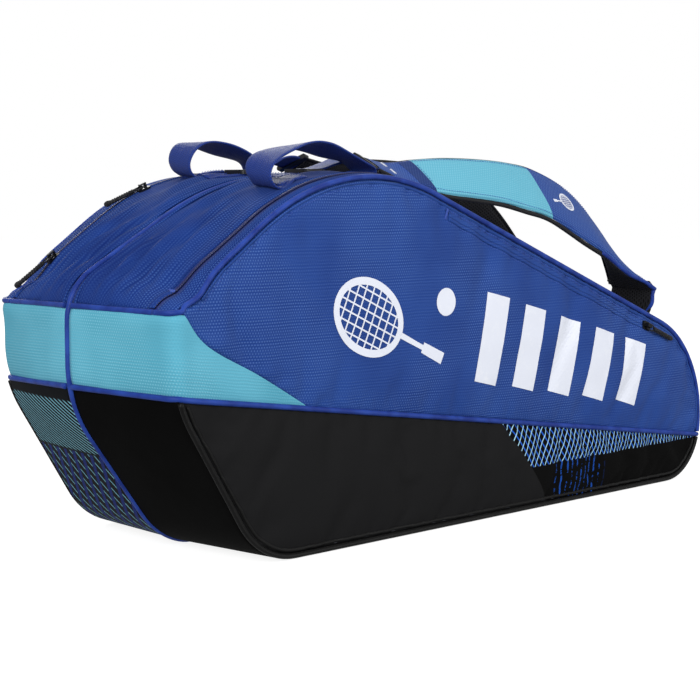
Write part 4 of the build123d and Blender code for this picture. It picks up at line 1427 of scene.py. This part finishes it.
strap_shapes = {side: StrapShape(side) for side, _ in SIDES}
for side, name in SIDES:
    shape = strap_shapes[side]
    ws = np.concatenate([np.linspace(-1, 1, TOP_COLS), np.linspace(1, -1, UNDER_COLS)[1:-1]])
    verts, cloth = [], []
    for i in range(len(shape.middle)):
        width = np.linalg.norm(shape.half[i])
        for k, w in enumerate(ws):
            upper = k < TOP_COLS
            height = shape.thick[i] * (shape.top(w) if upper else -(shape.top(w) * 0.82))
            if upper:
                ripple = 0.35 * noise.noise(Vector((shape.run[i] / 21, w * 1.4, side * 3.0)))
            else:
                ripple = 0.2 * noise.noise(Vector((shape.run[i] / 15, w * 2, side * 7.0)))
            verts.append(shape.middle[i] + shape.half[i] * w * 0.985 + shape.normal[i] * (height + ripple))
            cloth.append((shape.run[i], w * width))
    cols, rows = len(ws), len(shape.middle)
    flip = side < 0
    faces = grid_faces(rows, cols, close_cols=True, flip=not flip)
    slots = [0 if i % cols < TOP_COLS - 1 else 1 for i in range((rows - 1) * cols)]
    caps = [tuple(range(cols)), tuple((rows - 1) * cols + k for k in reversed(range(cols)))]
    faces += [c if flip else c[::-1] for c in caps]
    slots += [1, 1]
    pad = make(f"{name}_strap_padding", verts, faces, [mat_strap, mat_mesh], cloth, slots)
    finish_piece(pad, f"{name}_strap", "strap_padding", f"{name}_strap_pad")
    edges = Pile()
    turn = int(len(shape.middle) * 0.70)  # where the outer edge changes from black binding to blue piping
    rail = shape.middle + shape.half
    drop = shape.normal * shape.thick[:, None] * 0.16
    edges.add(*tube(resample(shape.middle - shape.half * 0.985 - drop * 0.3, 170), 1.2, 9))
    edges.add(*tube(resample((rail - drop * 1.4)[:turn + 3], 130), 2.3, 9))
    finish_piece(edges.build(f"{name}_strap_binding", mat_black_web), f"{name}_strap", "black_piping")
    end_edge = Pile()
    end_edge.add(*tube(resample(rail[turn:], 60), 2.1, 9))
    finish_piece(end_edge.build(f"{name}_strap_end_binding", mat_piping), f"{name}_strap", "blue_piping")
    sewing = Pile()
    for u_at in (44.5, 63.5):
        line = np.array([shape.face(u_at, v, 0.15) for v in np.linspace(-15, 15, 16)])
        stitches_one_way(sewing, line, shape.normal[int(np.searchsorted(shape.run, u_at))])
    for edge_side in (-1, 1):
        us = np.arange(30, shape.run[-1] - 6, 4.0)
        half = np.interp(us, shape.run, np.linalg.norm(shape.half, axis=1)) - 4.5
        line = np.array([shape.face(u, edge_side * h, 0.1) for u, h in zip(us, half)])
        stitches(sewing, line, read(us, shape.run, shape.normal))
    finish_piece(sewing.build(f"{name}_strap_stitching", mat_thread), f"{name}_strap", "blue_piping")
    tacks = Pile()
    for v in (-7.0, 7.0):
        centre, ahead, aside = (shape.face(*at, 0.1) for at in ((22.0, v), (24.0, v), (22.0, v + 2.0)))
        bartack(tacks, centre, aside - centre, ahead - centre, 8.0, 2.2)
    finish_piece(tacks.build(f"{name}_strap_tacks", mat_white_thread), f"{name}_strap", "blue_piping")
    # Webbing from the sewn patches to both ends of the strap.
    left, right = np.array((-74.0, side * 50.0, 342.0)), np.array((312.0, side * 78.0, 210.0))
    swing = unit(right - left)
    rise = unit(np.cross(np.cross(swing, (0.0, 0.0, 1.0)), swing))
    foot_base = roof_at(side, np.array([290.0]), 66, 1.8)[0][0]
    foot_low = roof_at(side, np.array([305.0]), 68, 4.0)[0][0]
    path = spline([foot_base, foot_low, right - rise * 18 + (4, 0, 0), right - rise * 6 + (1, 0, 0),
                   right + rise * 1, right + (-8, 0, 8)], FOOT_STEPS)
    widths = np.linspace(50, 57, FOOT_STEPS + 1)
    verts, faces, cloth = webbing(path, (0.0, 1.0, 0.0), widths, 3.0)
    # Mesh inside and strap cloth, past its border, outside.
    slots = [1 if 1 <= i % WEB_SIDES <= 6 else 0 for i in range(FOOT_STEPS * WEB_SIDES)] + [0, 0]
    cloth = cloth + np.array((400.0, 0.0))
    tab = make(f"{name}_strap_foot_webbing", verts, faces, [mat_mesh, mat_strap], cloth, slots)
    # The rim of the foot ends on the nearest point of the strap's outer edge.
    rim_line = path + widths[:, None] * np.array((0.0, 0.5 * side, 0.0))
    corner = rail[np.argmin(np.linalg.norm(rail - rim_line[-1], axis=1))]
    pull_in = smooth(np.linspace(0, 1, len(path)), 0.72, 1.0)[:, None] * (corner - rim_line[-1])
    rims = Pile()
    rims.add(*tube(rim_line + pull_in, 2.1, 9))
    rims = rims.build(f"{name}_strap_foot_binding", mat_piping)
    for obj in (tab, rims):
        blend(obj)
    lock_z = roof_at(side, np.array([-150.0]), 42, 3.4)[0][0][2]
    tongue = [(-158, 42, lock_z - 0.8), (-150, 42, lock_z + 1.2), (-138, 42.5, lock_z + 2.0),
              (-122, 44, 341.0), (-104, 46.5, 346.0), (-88, 49, 345.5), (-74, 50, 342.3), (-66, 51, 341.0)]
    path = spline([(x, side * y, z) for x, y, z in tongue], 70)
    turn = smooth(path[:, 0], -125, -78)[:, None]
    across = (1 - turn) * np.array((0.0, side * 1.0, 0.0)) + turn * unit(np.array((0.0, side * 26.0, -12.0)))
    verts, faces, cloth = webbing(path, across, 24.5, 2.0)
    tab = make(f"{name}_strap_tongue_webbing", verts, faces, mat_web, cloth)
    blend(tab)


# ---- centre divider and pocket ---------------------------------------------------------------------
rim = CENTRE - 6.5 * outward(CENTRE)
a, b = nearest(rim, 12 - MID_X, 236), nearest(rim, 744 - MID_X, 131)
c, d = nearest(rim, 752 - MID_X, 20), nearest(rim, 104 - MID_X, 18)


def stretch(line, start, end):
    return line[start:end + 1] if end > start else np.vstack([line[start:], line[:end + 1]])


top, nose = stretch(rim, a, b), stretch(rim, b, c)[::-1]
under, wide = stretch(rim, c, d)[::-1], stretch(rim, d, a)
for face_side, face_name in SIDES:
    grid = coons(resample(under, 130), resample(top, 130), resample(wide, 56), resample(nose, 56))
    flat = grid.reshape(-1, 2)
    edge = line_distance(flat, closed(rim))
    quilt = np.abs(np.sin((flat[:, 0] + flat[:, 1]) / 22) * np.sin((flat[:, 0] - flat[:, 1]) / 22)) ** 0.5
    y = face_side * (0.6 + 1.7 * smooth(edge, 0, 10) * (0.5 + 0.5 * quilt))
    faces = grid_faces(57, 131, flip=face_side > 0)
    obj = make(f"divider_{face_name}_cloth", stood(flat, y), faces, mat_lining, flat)
    thicken(obj, 0.5)
    finish_piece(obj, "bag", "divider_foam", "centre_divider")

FALL = np.array((0.934473, 0.0, -0.356034))  # along the panel's sloping top edge
DOWN = np.array((-0.356034, 0.0, -0.934473))  # square to it
POCKET_MIDDLE = sum(np.array(v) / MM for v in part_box("pocket_zip_tape")) / 2


def pocket_line(along, drop, lift):
    """Points on the front panel, measured along and below its sloping top edge from the seam's middle."""
    p = POCKET_MIDDLE + FALL * np.atleast_1d(along)[:, None] + DOWN * drop
    p[:, 1] = on_panel(FRONT, p[:, (0, 2)]) - lift
    return p


def pocket_rows(drops, lifts, reach=171.0, count=110):
    rows = [pocket_line(np.linspace(-reach, reach, count + 1), d, h) for d, h in zip(drops, lifts)]
    return np.vstack(rows), grid_faces(len(drops), count + 1, flip=True)


for lip_name, drops, lifts, nodes in (
        ("upper", (-4.5, -3.6, -1.0, 0.4, 0.8), (0.1, 0.7, 0.9, 0.8, 0.2), ["pocket_zip_tape"]),
        ("lower", (0.6, 1.2, 2.4, 3.8, 4.6), (0.3, 0.9, 1.1, 0.9, 0.1), [])):
    verts, faces = pocket_rows(drops, lifts)
    lip = make(f"pocket_{lip_name}_lip", verts, faces, mat_blue, verts[:, (0, 2)])
    finish_piece(thicken(lip, 0.6), "front_flap", "blue_fabric", *nodes)
sewing = Pile()
for drop in (-6.0, 6.0):
    stitches_one_way(sewing, pocket_line(np.linspace(-173, 173, 140), drop, 0.1), (0.0, -1.0, 0.0))
for s in (-174, 174):
    bartack(sewing, pocket_line(s, 0, 0.5)[0], DOWN, FALL, 11.0, 3.0)
finish_piece(sewing.build("pocket_stitching", mat_thread), "front_flap", "blue_piping")
low, high = (np.array(v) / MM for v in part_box("pocket_pouch"))
middle = (low + high) / 2
us, vs = np.linspace(-1, 1, 60), np.linspace(-1, 1, 14)
flat = np.array([(u, v) for v in vs for u in us])
swell = (1 - np.abs(flat[:, 0]) ** 6) * (1 - np.abs(flat[:, 1]) ** 4)
POUCH_HALF = (114, 21.5)
body = middle + FALL * (flat[:, :1] * POUCH_HALF[0]) - DOWN * (flat[:, 1:] * POUCH_HALF[1])
body[:, 1] = middle[1] + 1.6 + 3.4 * swell + 0.5 * wobble(body, 30.0, 2.2) * swell
pouch = make("pocket_pouch_cloth", body, grid_faces(14, 60), mat_lining, flat * POUCH_HALF)
thicken(pouch, 0.6)
finish_piece(pouch, "front_flap", "lining_fabric", "pocket_pouch")


# ---- printed graphics: a racket, a ball and five bars ----------------------------------------------
def bar(pile, turn, p0, p1, w0, w1, steps, across=3):
    """A flat bar between two points of the drawing, with its own width at each end."""
    p0, p1 = np.array(p0, float), np.array(p1, float)
    d = unit(p1 - p0)
    n = np.array((-d[1], d[0]))
    verts = [p0 + (p1 - p0) * t + n * k * (w0 + (w1 - w0) * t)
             for t in np.linspace(0, 1, steps + 1) for k in np.linspace(-0.5, 0.5, across)]
    pile.add(turn(np.array(verts)), grid_faces(steps + 1, across, flip=True))


def ring_of(pile, turn, a, b, width, count=72):
    verts = []
    for k in range(count):
        t = 2 * math.pi * k / count
        for s in (0.0, 0.5, 1.0):
            verts.append(((a - width * s) * math.cos(t), (b - width * s) * math.sin(t)))
    faces = [(3 * k + j, 3 * k + j + 1, 3 * ((k + 1) % count) + j + 1, 3 * ((k + 1) % count) + j)
             for k in range(count) for j in (0, 1)]
    pile.add(turn(np.array(verts)), [f[::-1] for f in faces])


def racket(pile, turn, size):
    """A racket seen flat, its head round the drawing's origin and its handle along +x."""
    a, b, rim_w = 0.50 * size, 0.37 * size, 0.075 * size
    ring_of(pile, turn, a, b, rim_w)
    ai, bi = a - rim_w * 0.6, b - rim_w * 0.6
    for k in np.linspace(-0.72, 0.72, 6):
        reach = ai * math.sqrt(1 - k * k)
        bar(pile, turn, (-reach, k * bi), (reach, k * bi), 0.016 * size, 0.016 * size, 12, 2)
    for k in np.linspace(-0.78, 0.78, 8):
        reach = bi * math.sqrt(1 - k * k)
        bar(pile, turn, (k * ai, -reach), (k * ai, reach), 0.016 * size, 0.016 * size, 10, 2)
    bar(pile, turn, (a - 0.02 * size, 0), (a + 0.34 * size, 0), 0.06 * size, 0.05 * size, 8)
    bar(pile, turn, (a + 0.34 * size, 0), (a + 0.66 * size, 0), 0.11 * size, 0.12 * size, 8)


def disc(pile, turn, centre, radius, rings=5, count=36):
    verts = [np.array(centre, float)]
    for r in range(1, rings + 1):
        for k in range(count):
            t = 2 * math.pi * k / count
            verts.append(np.array(centre) + radius * r / rings * np.array((math.cos(t), math.sin(t))))
    faces = [(0, 1 + k, 1 + (k + 1) % count) for k in range(count)]
    for r in range(rings - 1):
        base = 1 + r * count
        faces += [(base + k, base + count + k, base + count + (k + 1) % count, base + (k + 1) % count)
                  for k in range(count)]
    pile.add(turn(np.array(verts)), faces)


def turned(origin, angle):
    """Turns and moves points of a drawing."""
    c, s = math.cos(angle), math.sin(angle)
    x0, y0 = origin
    return lambda q: np.stack([x0 + q[:, 0] * c - q[:, 1] * s, y0 + q[:, 0] * s + q[:, 1] * c], axis=1)


for side, name in SIDES:
    marks = Pile()
    racket(marks, turned((232 - MID_X, 205), math.radians(-24)), 92)
    disc(marks, turned((0, 0), 0), (334 - MID_X, 214), 13)
    for k in range(5):
        foot_x, foot_z = 392 + 57 * k - MID_X, 133 - 9.6 * k
        bar(marks, turned((0, 0), 0), (foot_x, foot_z), (foot_x + 19, foot_z + 84 - 5 * k), 33, 33, 36, 13)
    marks.placed(lambda q, side=side: stood(q, on_panel(side, q) + side * 0.48))
    if side > 0:
        marks.faces = [f[::-1] for f in marks.faces]
    print_piece = marks.build(f"{name}_print", mat_print, shade_smooth=False)
    thicken(print_piece, 0.2)
    flap_blend(print_piece)
    shape = strap_shapes[side]
    badge = Pile()
    racket(badge, turned((268, -4), math.radians(160)), 26)
    badge.placed(lambda q, shape=shape: np.array([shape.face(u, v, 0.35) for u, v in q]))
    obj = badge.build(f"{name}_strap_badge", mat_print, shade_smooth=False)
    thicken(obj, 0.2)
    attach(obj, f"{name}_strap")


# ---- camera, floor and light -----------------------------------------------------------------------
PITCH = math.radians(5.377)
HEADING = math.radians(45)
camera_data = bpy.data.cameras.new("camera")
camera_data.lens = 87.43
camera_data.sensor_width = 36.0
camera_data.clip_end = 20.0
camera = bpy.data.objects.new("camera", camera_data)
camera.location = (-1.2264, -1.1776, 0.3172)
forward = Vector((math.cos(PITCH) * math.cos(HEADING), math.cos(PITCH) * math.sin(HEADING), -math.sin(PITCH)))
camera.rotation_mode = "QUATERNION"
camera.rotation_quaternion = forward.to_track_quat("-Z", "Y")
bpy.context.scene.collection.objects.link(camera)
bpy.context.scene.camera = camera
bpy.context.scene.view_settings.view_transform = "Standard"

floor_net = Net("floor_paint")
floor_net.place()
floor_tone = floor_net.mix(floor_net.noise(0.004, 2.0), (0.34, 0.34, 0.34, 1), (0.36, 0.36, 0.36, 1))
mat_floor = floor_net.build(floor_tone, 0.8, Specular_IOR_Level=0.0, Emission_Color=(1, 1, 1, 1),
                            Emission_Strength=0.86)
size = 8000
floor = make("floor", [(-size, -size, -0.6), (size, -size, -0.6), (size, size, -0.6), (-size, size, -0.6)],
             [(0, 1, 2, 3)], mat_floor)
floor.visible_diffuse = False
floor.visible_glossy = False

world = bpy.data.worlds.new("studio")
world.use_nodes = True
world.node_tree.nodes["Background"].inputs["Color"].default_value = (1, 1, 1, 1)
backdrop = world.node_tree.nodes["Background"].inputs["Strength"]
light_path = world.node_tree.nodes.new("ShaderNodeLightPath")
strength = world.node_tree.nodes.new("ShaderNodeMapRange")
strength.inputs["To Min"].default_value = 0.42  # light from the room
strength.inputs["To Max"].default_value = 1.0  # the white backdrop itself
world.node_tree.links.new(light_path.outputs["Is Camera Ray"], strength.inputs["Value"])
world.node_tree.links.new(strength.outputs[0], backdrop)
bpy.context.scene.world = world


def softbox(name, place, target, width, height, power):
    light = bpy.data.lights.new(name, "AREA")
    light.shape = "RECTANGLE"
    light.size, light.size_y = width, height
    light.energy = power
    obj = bpy.data.objects.new(name, light)
    obj.location = place
    obj.rotation_mode = "QUATERNION"
    obj.rotation_quaternion = (Vector(target) - Vector(place)).to_track_quat("-Z", "Y")
    bpy.context.scene.collection.objects.link(obj)


softbox("key_light", (-2.2, -1.1, 1.2), (0, 0, 0.2), 1.4, 1.2, 46)
softbox("top_light", (0.3, 0.2, 2.2), (0, 0, 0.2), 1.8, 1.2, 7)
softbox("fill_light", (0.7, -2.3, 0.9), (0, 0, 0.2), 1.6, 1.2, 26)
softbox("back_light", (1.2, 2.2, 1.1), (0, 0, 0.2), 1.6, 1.2, 24)
